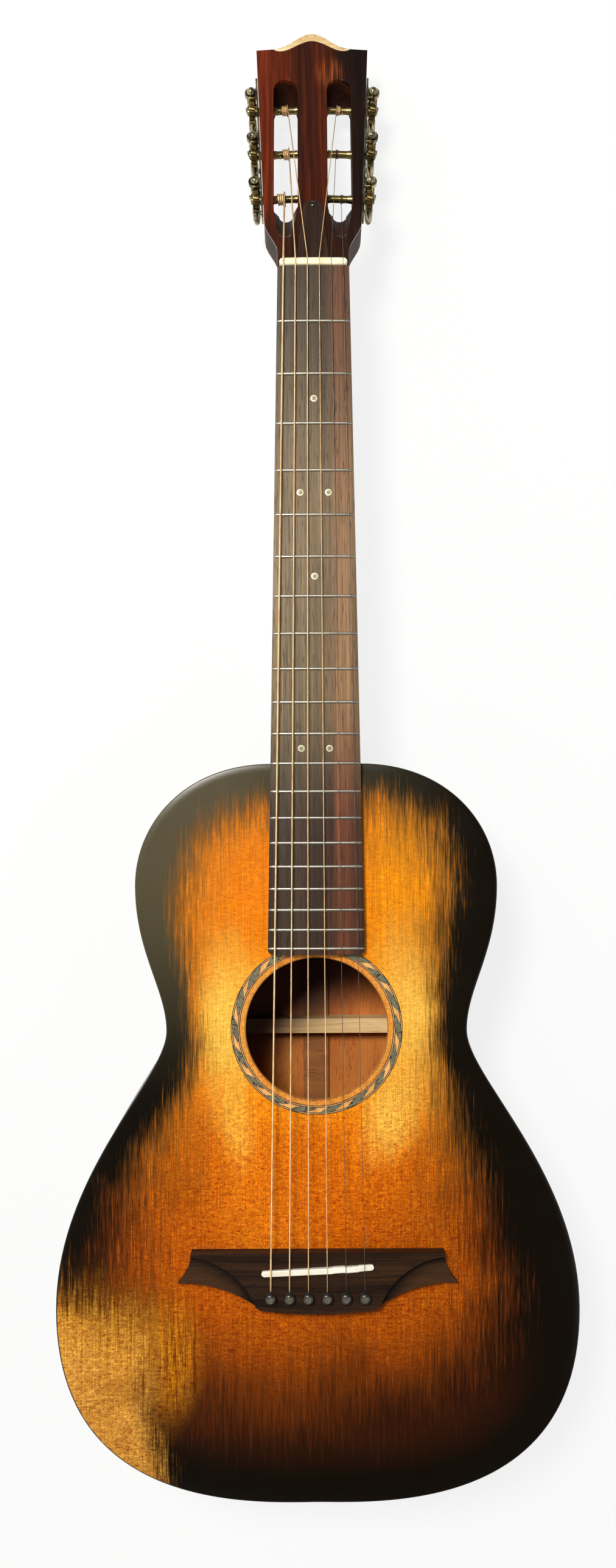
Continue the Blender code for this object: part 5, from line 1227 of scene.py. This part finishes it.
def build_frets():
    """Twenty crowned frets with rounded ends."""
    slope = (BOARD_WIDTH_BODY - BOARD_WIDTH_NUT) / NUT_Y / 2
    frets = from_nodes("frets", fret_tree(), {
        "Count": FRET_COUNT, "Scale Length": SCALE_LENGTH, "Nut Place": NUT_Y,
        "Board Half": BOARD_WIDTH_BODY / 2 - 0.3 * MM, "Board Slope": slope, "Board Top": board_top(),
        "Board Radius": BOARD_RADIUS, "Fret Width": FRET_WIDTH, "Fret Height": FRET_HEIGHT},
        GUITAR, FRET_METAL)
    smooth_mesh(frets.data, 50)
    hand_over(frets, "guitar")


def build_dots():
    """Position dots: a pearl disc with a darker ring inside its rim, set flush in the fretboard."""
    disc, eye = bmesh.new(), bmesh.new()
    spots = [(0.0, n) for n in SINGLE_DOTS]
    spots += [(side * DOT_SPREAD, n) for n in DOUBLE_DOTS for side in (-1, 1)]
    for x, number in spots:
        y = (fret_y(number) + fret_y(number - 1)) / 2
        z = crowned(board_top(), x)
        for shape, steps in ((disc, ((-0.6, 1), (0.05, 1), (0.07, 0.9))),
                             (eye, ((0, 0.62), (0.09, 0.62), (0.10, 0.5)))):
            profile = [(z + rise * MM, DOT_RADIUS * share) for rise, share in steps]
            turned(profile, steps=40, center=(x, y, 0), shape=shape)
    add_piece("position_dots", disc, GUITAR, [PEARL], "guitar")
    add_piece("position_dot_eyes", eye, GUITAR, [DOT_EYE], "guitar")


def build_nut():
    """Bone nut with fully rounded ends; its top carries the strings."""
    half, radius = NUT_WIDTH / 2, NUT_THICKNESS / 2
    middle = NUT_Y + radius
    straight = half - radius
    steps = 40
    plan = []
    for sign in (1, -1):
        for cosine, sine in around(20, -sign * math.pi / 2, math.pi, True):
            plan.append((sign * straight + radius * cosine, middle + radius * sine))
        for i in range(1, steps):
            plan.append((sign * straight * (1 - 2 * i / steps), middle + sign * radius))
    top = board_top() + FRET_HEIGHT + ACTION_NUT + 0.25 * MM
    rings = []
    for shrink, drop in ((1.0, None), (1.0, 0.9 * MM), (0.86, 0.35 * MM), (0.6, 0.08 * MM), (0.3, 0.0)):
        ring = []
        for x, y in plan:
            x_in = x
            if abs(x) > straight:
                x_in = math.copysign(straight + (abs(x) - half + radius) * shrink, x)
            z = SEAT if drop is None else crowned(top, x) - drop
            ring.append((x_in, middle + (y - middle) * shrink, z))
        rings.append(ring)
    add_piece("nut_bone_bar", loft(rings), GUITAR, [BONE], "guitar", ("nut",), 50)


def build_crest_cap():
    """Pale cap along the head's crest, with a smooth lower edge."""
    half = 25.6 * MM
    steps = 48
    low, high = -HEADPLATE_THICKNESS * 0.6, 0.10 * MM
    rings = []
    for i in range(steps + 1):
        x = half * (1 - 2 * i / steps)
        share = 1 - (x / half) ** 2
        top = head_crest(x) + 0.12 * MM
        bottom = head_crest(x) - 0.10 * MM - CREST_CAP_DEPTH * share ** 0.8
        rings.append([(x, bottom, low), (x, top, low), (x, top, high), (x, bottom, high)])
    cap = add_piece("crest_cap", loft(rings), HEAD, [CREST_CREAM], "guitar", (), 35)
    soften(cap, 0.06 * MM, 1, 60)


def screw_tree():
    """Geometry Nodes: round-headed screws on given points, each turned its own way."""
    tree, given, result = geometry_tree("screw_row", [
        ("Step", "Vector"), ("Count", "Int"), ("Head Radius", "Float"), ("Seed", "Int"),
        ("Screw", "Object")])
    row = add_node("GeometryNodeMeshLine", {"Count": given["Count"], "Offset": given["Step"]}, mode="OFFSET")
    head = add_node("GeometryNodeObjectInfo", {"Object": given["Screw"]})["Geometry"]
    spin = add_node("FunctionNodeRandomValue", {3: math.pi, "Seed": given["Seed"]}, data_type="FLOAT")[1]
    screws = copied(row["Mesh"], head, Rotation=joined(Z=spin), Scale=given["Head Radius"])
    set_inputs(result, {"Geometry": screws})
    return tree


def screw_head():
    """A unit screw head along z with a slot, for the screw tree to repeat."""
    rings = []
    for z, radius in ((-0.2, 1.0), (0.16, 1.0), (0.38, 0.86), (0.52, 0.58), (0.56, 0.2)):
        ring = []
        for cosine, sine in around(24):
            x, y = radius * cosine, radius * sine
            sunk = 0.24 if abs(y) < 0.16 and z > 0.1 else 0.0
            ring.append((x, y, z - sunk))
        rings.append(ring)
    shape = loft(rings)
    bmesh.ops.recalc_face_normals(shape, faces=shape.faces)
    mesh = bpy.data.meshes.new("screw_head")
    shape.to_mesh(mesh)
    shape.free()
    return bpy.data.objects.new("screw_head", mesh)


def build_screws():
    """The truss cover's screw, and the small screws that hold the machine plates."""
    tree, head = screw_tree(), screw_head()
    place = HEAD @ Matrix.Translation((0, COVER_SCREW_AT, SEAT + COVER_THICKNESS))
    rows = [("cover_screw", 1, 1, 2.0 * MM, 4, place, DARK_SCREW, "steel")]
    for name, sign in SIDES.items():
        start = POSTS_AT[0] - PLATE_MARGIN + 4.2 * MM
        end = POSTS_AT[-1] + PLATE_MARGIN + WORM_OFFSET - 4.2 * MM
        lift = Matrix.Translation((sign * (SEAT + PLATE_THICKNESS), start, -POST_DEPTH))
        place = MACHINES[name] @ lift @ Matrix.Rotation(sign * math.pi / 2, 4, "Y")
        rows.append(("plate_screws_" + name, (end - start) / 3, 4, 1.5 * MM, 7, place, BRASS, "aged_brass"))
    for name, step, count, radius, seed, place, finish, slot in rows:
        row = from_nodes(name, tree, {"Step": (0, step, 0), "Count": count, "Head Radius": radius,
                                      "Seed": seed, "Screw": head}, place, finish)
        smooth_mesh(row.data, 30)
        hand_over(row, "guitar")
    bpy.data.objects.remove(head)


# Bridge

def build_saddle():
    """Slanted saddle with rounded ends and the steps that set each plain string's length."""
    half = SADDLE_THICKNESS / 2
    rear, front = [], []
    for share, shift in ((-0.5, 0.0), (0.13, 0.0), (0.135, 0.55), (0.24, 0.55), (0.245, -0.1), (0.36, -0.1),
                         (0.365, 0.45), (0.5, 0.45)):
        rear.append((SADDLE_LENGTH * share, -half + shift * 0.5 * MM))
        front.append((SADDLE_LENGTH * share, half + shift * 0.7 * MM))
    outline = []
    for end, inward, start, edge in ((0, 1, math.pi / 2, rear), (-1, -1, -math.pi / 2, front[::-1])):
        x, middle = rear[end][0] + inward * half, (rear[end][1] + front[end][1]) / 2
        outline += [(x + half * c, middle + half * s) for c, s in around(6, start, math.pi, True)]
        outline += edge[1:-1]
    foot = BRIDGE_HEIGHT - SADDLE_SLOT_DEPTH + SEAT
    top = board_top() + FRET_HEIGHT + 2 * ACTION_BODY_FRET - ACTION_NUT
    shape = loft([[(x, y, foot) for x, y in outline], [(x, y, crowned(top, x)) for x, y in outline]])
    place = GUITAR @ Matrix.Translation((0, SADDLE_Y, 0)) @ Matrix.Rotation(SADDLE_SLANT, 4, "Z")
    saddle = add_piece("saddle_bone_bar", shape, place, [SADDLE_BONE], "guitar", ("saddle",), 40)
    soften(saddle, 0.5 * MM, 3, 60)


def build_pins():
    """Six bridge pins: black heads with a waist, and a ringed shell dot in each."""
    top = BRIDGE_HEIGHT + SEAT
    head = PIN_HEAD_RADIUS
    dots, rings = bmesh.new(), bmesh.new()
    for index in range(STRING_COUNT):
        center = Vector((pin_x(index), PIN_Y, 0))
        profile = [(top - 14 * MM, PIN_SHAFT_RADIUS * 0.8), (top - 0.2 * MM, PIN_SHAFT_RADIUS)]
        for rise, share in ((0, 0.86), (0.35, 0.90), (0.7, 0.80), (1.2, 0.84), (1.9, 0.97), (2.5, 1),
                            (3.2, 0.96), (3.9, 0.82), (4.3, 0.64)):
            profile.append((top + rise * MM, head * share))
        add_piece("pin_%d" % (index + 1), turned(profile, steps=40, center=center), GUITAR, [PIN_BLACK],
                  "guitar", ("bridge_pin_%d" % (index + 1),), 50)
        dot = ((3.6, 0.60), (4.33, 0.62), (4.42, 0.5), (4.45, 0.2))
        turned([(top + rise * MM, head * share) for rise, share in dot], center=center, shape=dots)
        sections = []
        for share, rise in ((0.60, 4.40), (0.57, 4.50), (0.50, 4.50), (0.47, 4.42), (0.60, 4.40)):
            sections.append([(pin_x(index) + head * share * c, PIN_Y + head * share * s, top + rise * MM)
                             for c, s in around(32)])
        loft(sections, rings, False)
    add_piece("pin_dots", dots, GUITAR, [PIN_SHELL], "guitar", (), 40)
    add_piece("pin_dot_rings", rings, GUITAR, [PIN_RING], "guitar", (), 40)


# Strings

def rounded_path(points, radius, steps=5):
    """The path with each corner replaced by a short curve."""
    path = [points[0]]
    for before, corner, after in zip(points, points[1:], points[2:]):
        cut_in = min(radius, (corner - before).length * 0.45)
        cut_out = min(radius, (after - corner).length * 0.45)
        start = corner + (before - corner).normalized() * cut_in
        end = corner + (after - corner).normalized() * cut_out
        for i in range(steps + 1):
            t = i / steps
            path.append(start * (1 - t) ** 2 + corner * 2 * t * (1 - t) + end * t * t)
    path.append(points[-1])
    return path


def wire(name, points, radius, matrix, finish, body, stands_for):
    """A wire swept along a path, with a map whose second value counts its wrap's turns."""
    steps = 12
    shape = bmesh.new()
    wire_map = shape.loops.layers.uv.new("wire")
    made, lengths = [], []
    length, normal = 0.0, None
    for i, point in enumerate(points):
        ahead = (points[min(i + 1, len(points) - 1)] - points[max(i - 1, 0)]).normalized()
        normal = normal or ahead.orthogonal().normalized()
        normal = (normal - ahead * normal.dot(ahead)).normalized()
        side = ahead.cross(normal)
        made.append([shape.verts.new(point + normal * radius * c + side * radius * s)
                     for c, s in around(steps)])
        length += (point - points[max(i - 1, 0)]).length
        lengths.append(length)
    for i in range(len(made) - 1):
        for j in range(steps):
            k = (j + 1) % steps
            face = shape.faces.new((made[i][j], made[i][k], made[i + 1][k], made[i + 1][j]))
            spots = ((j, i), (j + 1, i), (j + 1, i + 1), (j, i + 1))
            for loop, (around_it, along) in zip(face.loops, spots):
                loop[wire_map].uv = (around_it / steps, lengths[along] / WRAP_PITCH)
    shape.faces.new(made[0][::-1])
    shape.faces.new(made[-1])
    return add_piece(name, shape, matrix, [finish], body, stands_for, 60, merge=False)


def machine_rows():
    """Each machine as (side, number, sign, place): 1 to 3 on the bass side, 4 to 6 on the treble side."""
    rows = []
    for name, sign in SIDES.items():
        for slot, along in enumerate(POSTS_AT):
            number = slot + 1 if name == "bass" else STRING_COUNT - slot
            rows.append((name, number, sign, along))
    return rows


def build_strings():
    """Six strings from the bridge over saddle and nut, and their turns round the posts."""
    for name, number, sign, along in machine_rows():
        index = number - 1
        radius = STRING_DIAMETERS[index] / 2
        wound = index < WOUND_COUNT
        finish, slot = (BRONZE, "bronze_string") if wound else (PLAIN_WIRE, "steel")
        to_guitar = GUITAR.inverted() @ MACHINES[name]
        nut = string_at_nut(index)
        nut_back = Vector((nut.x, HEAD_Y, nut.z))
        start = to_guitar.inverted() @ nut_back
        coil = POST_RADIUS + 0.02 * MM + radius
        pitch = 2 * radius + WINDING_GAP
        entry = WINDING_ENTRY[POSTS_AT.index(along)]
        side = SIDE_ORIGIN + SIDE_SLOPE * along
        entry_x = -sign * (side - entry)
        post = Vector((entry_x, along, -POST_DEPTH))
        to_nut = start - post
        reach = math.hypot(to_nut.y, to_nut.z)
        toward = math.atan2(to_nut.z, to_nut.y)
        touch = toward - math.acos(coil / reach)

        points = []
        count = round(WINDING_TURNS[index] * WINDING_STEPS)
        for i in range(count + 1):
            turn = 2 * math.pi * i / WINDING_STEPS
            angle = touch - turn
            x = entry_x + sign * pitch * turn / (2 * math.pi)
            points.append(Vector((x, along + coil * math.cos(angle), -POST_DEPTH + coil * math.sin(angle))))
        over = points[-1]
        axis_point = Vector((over.x + sign * (radius + 0.5 * MM), along, -POST_DEPTH))
        inward = (axis_point - over).normalized()
        points.append(over + (points[-1] - points[-2]).normalized() * radius + inward * radius * 0.4)
        points += [axis_point, axis_point + inward * (POST_RADIUS + 1.4 * MM)]
        wire("winding_%d" % number, points, radius, MACHINES[name], finish, "post_%d" % number,
             ("string_winding_%d" % number,))

        # The string lies on the coil's outside, round the post's axis, so it stays joined as the coil turns
        outer = coil + radius * (1 + DRAWN_SHARE) + OUTER_GAP
        lands = toward - math.acos(outer / reach)
        wrap = [to_guitar @ (post + Vector((0, outer * c, outer * s)))
                for c, s in around(OUTER_STEPS, lands, -OUTER_WRAP, True)[::-1]]
        saddle = string_at_saddle(index)
        route = [
            wrap.pop(),
            nut_back + Vector((0, 0.3 * MM, 0)),
            nut - Vector((0, 0.4 * MM, 0)),
            saddle + Vector((0, SADDLE_THICKNESS / 2, 0)),
            saddle - Vector((0, SADDLE_THICKNESS / 2, 0)),
            Vector((pin_x(index), PIN_Y + PIN_SHAFT_RADIUS + 2 * radius, BRIDGE_HEIGHT + 0.6 * MM)),
            Vector((pin_x(index), PIN_Y + PIN_SHAFT_RADIUS + radius, BRIDGE_HEIGHT / 2)),
        ]
        path = wrap + rounded_path(route, 1.2 * MM)
        wire("string_wire_%d" % number, path, radius * DRAWN_SHARE, GUITAR, finish, "guitar",
             ("string_%d" % number,))


# Tuning machines

def slot_wall(along, inner):
    """Distance from a head side's face in to its slot's outer or inner wall."""
    side = SIDE_ORIGIN + SIDE_SLOPE * along
    wall = SLOT_CENTER + (-1 if inner else 1) * SLOT_WIDTH / 2
    return (side - wall) * math.cos(SIDE_ANGLE)


def gear_shape(shape):
    """Worm wheel about x with straight-flanked teeth that follow the worm's lead."""
    half_tooth = (THREAD_PITCH - TOOTH_BACKLASH) / 4
    flank = math.tan(PRESSURE_ANGLE)
    tip_radius, root_radius = GEAR_RADIUS + TOOTH_ADDENDUM, GEAR_RADIUS - TOOTH_DEDENDUM
    tip = (half_tooth - TOOTH_ADDENDUM * flank) / tip_radius
    root = (half_tooth + TOOTH_DEDENDUM * flank) / root_radius
    rings = []
    for share, shrink in ((-1.0, 0.90), (-0.86, 1.0), (0.0, 1.0), (0.86, 1.0), (1.0, 0.90)):
        x = share * GEAR_FACE / 2
        twist = x * LEAD_SLOPE / GEAR_RADIUS
        ring = []
        for tooth in range(GEAR_TEETH):
            middle = (tooth + 0.5) * 2 * math.pi / GEAR_TEETH + twist
            corners = ((-root, root_radius), (-tip, tip_radius * shrink), (tip, tip_radius * shrink),
                       (root, root_radius))
            for offset, radius in corners:
                ring.append((x, radius * math.cos(middle + offset), radius * math.sin(middle + offset)))
        rings.append(ring)
    return loft(rings, shape)


def build_posts():
    """Six string posts with their worm wheels and centre screws."""
    for name, number, sign, along in machine_rows():
        face = GEAR_FACE / 2
        plate_top = GEAR_PLANE - PLATE_THICKNESS - 2 * SEAT
        inside = -GEAR_PLANE - slot_wall(along, False)
        far = -GEAR_PLANE - slot_wall(along, True)
        profile = [(face + POST_SCREW_HEIGHT * rise, POST_SCREW_RADIUS * share)
                   for rise, share in ((1, 0.25), (0.92, 0.68), (0.55, 0.96), (0.2, 1))]
        profile += [(face - SEAT, POST_SCREW_RADIUS), (face - SEAT, 3.3 * MM), (-plate_top, 3.3 * MM),
                    (-plate_top, CHEEK_SHAFT_RADIUS)]
        for place, collars, radius in (
                (inside, -0.35, CHEEK_SHAFT_RADIUS), (inside, -0.7, CHEEK_SHAFT_RADIUS * 0.97),
                (inside, -1.1, POST_RADIUS * 1.02), (inside, -1.6, POST_RADIUS), (far, 1.2, POST_RADIUS),
                (far, 0.8, POST_RADIUS * 1.02), (far, 0.45, CHEEK_SHAFT_RADIUS * 0.98)):
            profile.append((place + POST_COLLAR * collars, radius))
        profile += [(far + SEAT, CHEEK_SHAFT_RADIUS), (far + SEAT, 1.9 * MM), (far - 6 * MM, 1.9 * MM)]
        shape = turned([(sign * d, r) for d, r in profile], axis="X", steps=40)
        gear_shape(shape)
        place = MACHINES[name] @ Matrix.Translation((sign * GEAR_PLANE, along, -POST_DEPTH))
        add_piece("post_and_wheel_%d" % number, shape, place, [POST_BRASS], "post_%d" % number,
                  ("tuner_post_%d" % number,), 32, merge=False)


def ear_reach():
    """Distance from a worm's middle to its ears, past both the thread and the worm wheel's rim."""
    rim = GEAR_RADIUS + TOOTH_ADDENDUM
    near = WORM_OFFSET - EAR_HALF_WIDTH
    wheel = math.sqrt(max(0.0, rim * rim - near * near)) + 2 * SEAT
    return max(wheel, THREAD_PITCH * (WORM_TURNS + 1) / 2)


def worm_shape(shape):
    """A single right-hand thread about z whose middle crest faces -y at z = 0."""
    half = (THREAD_PITCH - TOOTH_BACKLASH) / 4
    flank = math.tan(PRESSURE_ANGLE)
    buried = SHAFT_RADIUS - 0.3 * MM
    wide = half + (WORM_PITCH_RADIUS - buried) * flank
    narrow = half - TOOTH_ADDENDUM * flank
    steps = 30
    count = round(WORM_TURNS * steps)
    rings = []
    for i in range(count + 1):
        turn = 2 * math.pi * (i - count / 2) / steps
        angle = turn - math.pi / 2
        z = THREAD_PITCH * turn / (2 * math.pi)
        fade = min(1.0, (min(i, count - i) + 1) / 12)
        crest = SHAFT_RADIUS + (WORM_RADIUS - SHAFT_RADIUS) * fade
        ring = []
        for radius, offset in ((buried, -wide), (crest - 0.1 * MM, -narrow), (crest, -narrow * 0.6),
                               (crest, narrow * 0.6), (crest - 0.1 * MM, narrow), (buried, wide)):
            ring.append((radius * math.cos(angle), radius * math.sin(angle), z + offset))
        rings.append(ring)
    return loft(rings, shape)


def build_keys():
    """Six worm shafts: a ringed front knob, the worm, and a flat oval metal button."""
    front = ear_reach() + EAR_THICKNESS + SEAT
    knob = ((0, 0.16), (0.12, 0.42), (0.5, 0.66), (0.95, 0.78), (1.15, 0.76), (1.35, 0.86), (1.9, 1.0),
            (2.5, 1.0), (2.9, 0.86), (KNOB_LENGTH / MM, 0.80))
    sections = [(front + KNOB_LENGTH - drop * MM, share * KNOB_RADIUS, share * KNOB_RADIUS)
                for drop, share in knob]
    for z, across, wide in ((front, 1, 1), (-front - 0.4 * MM, 1, 1), (-front - 0.6 * MM, 1.25, 1.25),
                            (-front - 1.3 * MM, 1.3, 1.3), (-front - 1.7 * MM, 1, 1),
                            (-BUTTON_START + 0.8 * MM, 1, 1), (-BUTTON_START, 1.15, 1.3)):
        sections.append((z, across * SHAFT_RADIUS, wide * SHAFT_RADIUS))
    for share, thick, wide in ((0.05, 0.78, 0.36), (0.12, 0.92, 0.60), (0.22, 1.0, 0.82), (0.36, 1.0, 0.95),
                               (0.52, 1.0, 1.0), (0.68, 0.98, 0.95), (0.82, 0.93, 0.80), (0.92, 0.8, 0.58),
                               (0.98, 0.55, 0.36), (1.0, 0.3, 0.2)):
        z = -BUTTON_START - share * BUTTON_LENGTH
        sections.append((z, thick * BUTTON_HALF_THICKNESS, wide * BUTTON_HALF_WIDTH))
    rings = [[(across * c, wide * s, z) for c, s in around(36)] for z, across, wide in sections]
    for name, number, sign, along in machine_rows():
        shape = worm_shape(loft(rings))
        place = MACHINES[name] @ Matrix.Translation((sign * GEAR_PLANE, along + WORM_OFFSET, -POST_DEPTH))
        add_piece("key_and_worm_%d" % number, shape, place, [BRASS], "key_%d" % number,
                  ("tuner_key_%d" % number,), 40, merge=False)


def build_straps():
    """Bent metal straps that curl round each front bearing, and small ones at the back bearing."""
    reach = ear_reach()
    inner, outer = EAR_HALF_WIDTH + 0.15 * MM, EAR_HALF_WIDTH + 0.85 * MM
    foot = SEAT + PLATE_THICKNESS - GEAR_PLANE
    for name, sign in SIDES.items():
        shape = bmesh.new()
        for along in POSTS_AT:
            center = along + WORM_OFFSET
            for level, height, sweep in ((reach + 0.2 * MM, 2.6 * MM, 190),
                                         (-reach - 2.6 * MM, 2.2 * MM, 100)):
                rings = []
                for step in [None] + around(14, -math.pi / 2, math.radians(sweep), True):
                    ring = []
                    for radius, z in ((inner, 0.0), (outer, 0.0), (outer, height), (inner, height)):
                        x, y = (radius * step[0], radius * step[1]) if step else (foot, -radius)
                        ring.append((sign * (GEAR_PLANE + x), center + y, -POST_DEPTH + level + z))
                    rings.append(ring)
                loft(rings, shape)
        straps = add_piece("bearing_straps_" + name, shape, MACHINES[name], [BRASS], "guitar",
                           (), 35)
        soften(straps, 0.15 * MM, 2, 50)


# Camera, lights and floor

def build_stage():
    """A pale floor, soft studio light and the photograph's camera."""
    floor_mesh = bpy.data.meshes.new("floor")
    reach = 6.0
    floor_mesh.from_pydata([(-reach, -reach, 0), (reach, -reach, 0), (reach, reach, 0), (-reach, reach, 0)],
                           [], [(0, 1, 2, 3)])
    made = new_material("pale_floor")
    matt = add_node("ShaderNodeBsdfDiffuse", {"Color": (0.86, 0.86, 0.86, 1)}, made.node_tree)[0]
    white = add_node("ShaderNodeEmission", {"Color": (1, 1, 1, 1), "Strength": 1.0}, made.node_tree)[0]
    seen = add_node("ShaderNodeLightPath", tree=made.node_tree)["Is Camera Ray"]
    finished(made, {0: seen * 0.82, 1: matt, 2: white}, "ShaderNodeMixShader")
    floor = link_mesh("floor", floor_mesh, [made])

    world = bpy.data.worlds.new("studio")
    world.use_nodes = True
    tree = world.node_tree
    x, _, z = parts(add_node("ShaderNodeTexCoord", tree=tree)["Generated"])
    glow = ranged(x, 0.10, -0.85, 0.26, 1.10) * ranged(z, 0.45, 0.90, 1.0, 0.30)
    seen = add_node("ShaderNodeLightPath", tree=tree)["Is Camera Ray"]
    set_inputs(tree.nodes["Background"], {"Color": (1.0, 0.99, 0.97, 1),
                                          "Strength": calc("MAXIMUM", glow, seen)})
    bpy.context.scene.world = world

    for name, place, aim, size, power, tint in (
            ("key_light", (-0.42, 0.55, 1.58), (0, -0.05, 0.05), 0.42, 27.0, (1.0, 0.98, 0.94)),
            ("fill_light", (1.3, -0.5, 1.1), (0, -0.05, 0.05), 1.2, 5.0, (0.96, 0.98, 1.0))):
        lamp = bpy.data.lights.new(name, "AREA")
        lamp.shape = "SQUARE"
        lamp.size = size
        lamp.energy = power
        lamp.color = tint
        light = bpy.data.objects.new(name, lamp)
        light.location = place
        light.rotation_euler = (Vector(aim) - Vector(place)).to_track_quat("-Z", "Y").to_euler()
        bpy.context.collection.objects.link(light)

    lens = bpy.data.cameras.new("photo_camera")
    lens.sensor_fit = "VERTICAL"
    lens.sensor_height = SENSOR
    lens.lens = SENSOR * FOCAL_PIXELS / PHOTO_HEIGHT
    lens.clip_start = 0.01
    camera = bpy.data.objects.new("photo_camera", lens)
    bpy.context.collection.objects.link(camera)
    turn = Matrix.Rotation(CAMERA_PITCH, 4, "X") @ Matrix.Rotation(CAMERA_ROLL, 4, "Z")
    camera.matrix_world = GUITAR @ Matrix.Translation(CAMERA_AT) @ turn
    bpy.context.scene.camera = camera
    bpy.context.scene.view_settings.view_transform = "Standard"


build_stage()
build_top()
build_rim()
build_back()
build_rosette()
build_end_pin()
build_fingerboard()
build_frets()
build_dots()
build_nut()
cad_copy("neck", "neck_and_head", NECK_WOOD, 0.35 * MM)
cad_copy("headplate", "head_veneer", HEAD_GLOSS, 0.25 * MM)
cad_copy("truss_rod_cover", "truss_cover", COVER_GLOSS, 0.5 * MM)
cad_copy("bridge", "bridge_carved", BRIDGE_WOOD, 0.4 * MM)
cad_copy("tuner_plate_bass", "machine_plate_bass", BRASS, 0.2 * MM)
cad_copy("tuner_plate_treble", "machine_plate_treble", BRASS, 0.2 * MM)
build_crest_cap()
build_saddle()
build_pins()
build_strings()
build_posts()
build_keys()
build_straps()
build_screws()

for node_name in ("back_brace_1", "back_brace_2", "back_brace_3", "x_brace_bass", "x_brace_treble",
                  "tone_bar", "upper_transverse_brace"):
    dress_node(node_name, BRACE_WOOD)
for node_name in ("back_lining_bass", "back_lining_treble", "top_lining_bass", "top_lining_treble",
                  "neck_block", "tail_block", "bridge_plate"):
    dress_node(node_name, BARE_SPRUCE)
dress_node("back_strip", INNER_STRIP)
dress_node("truss_rod", DARK_SCREW)
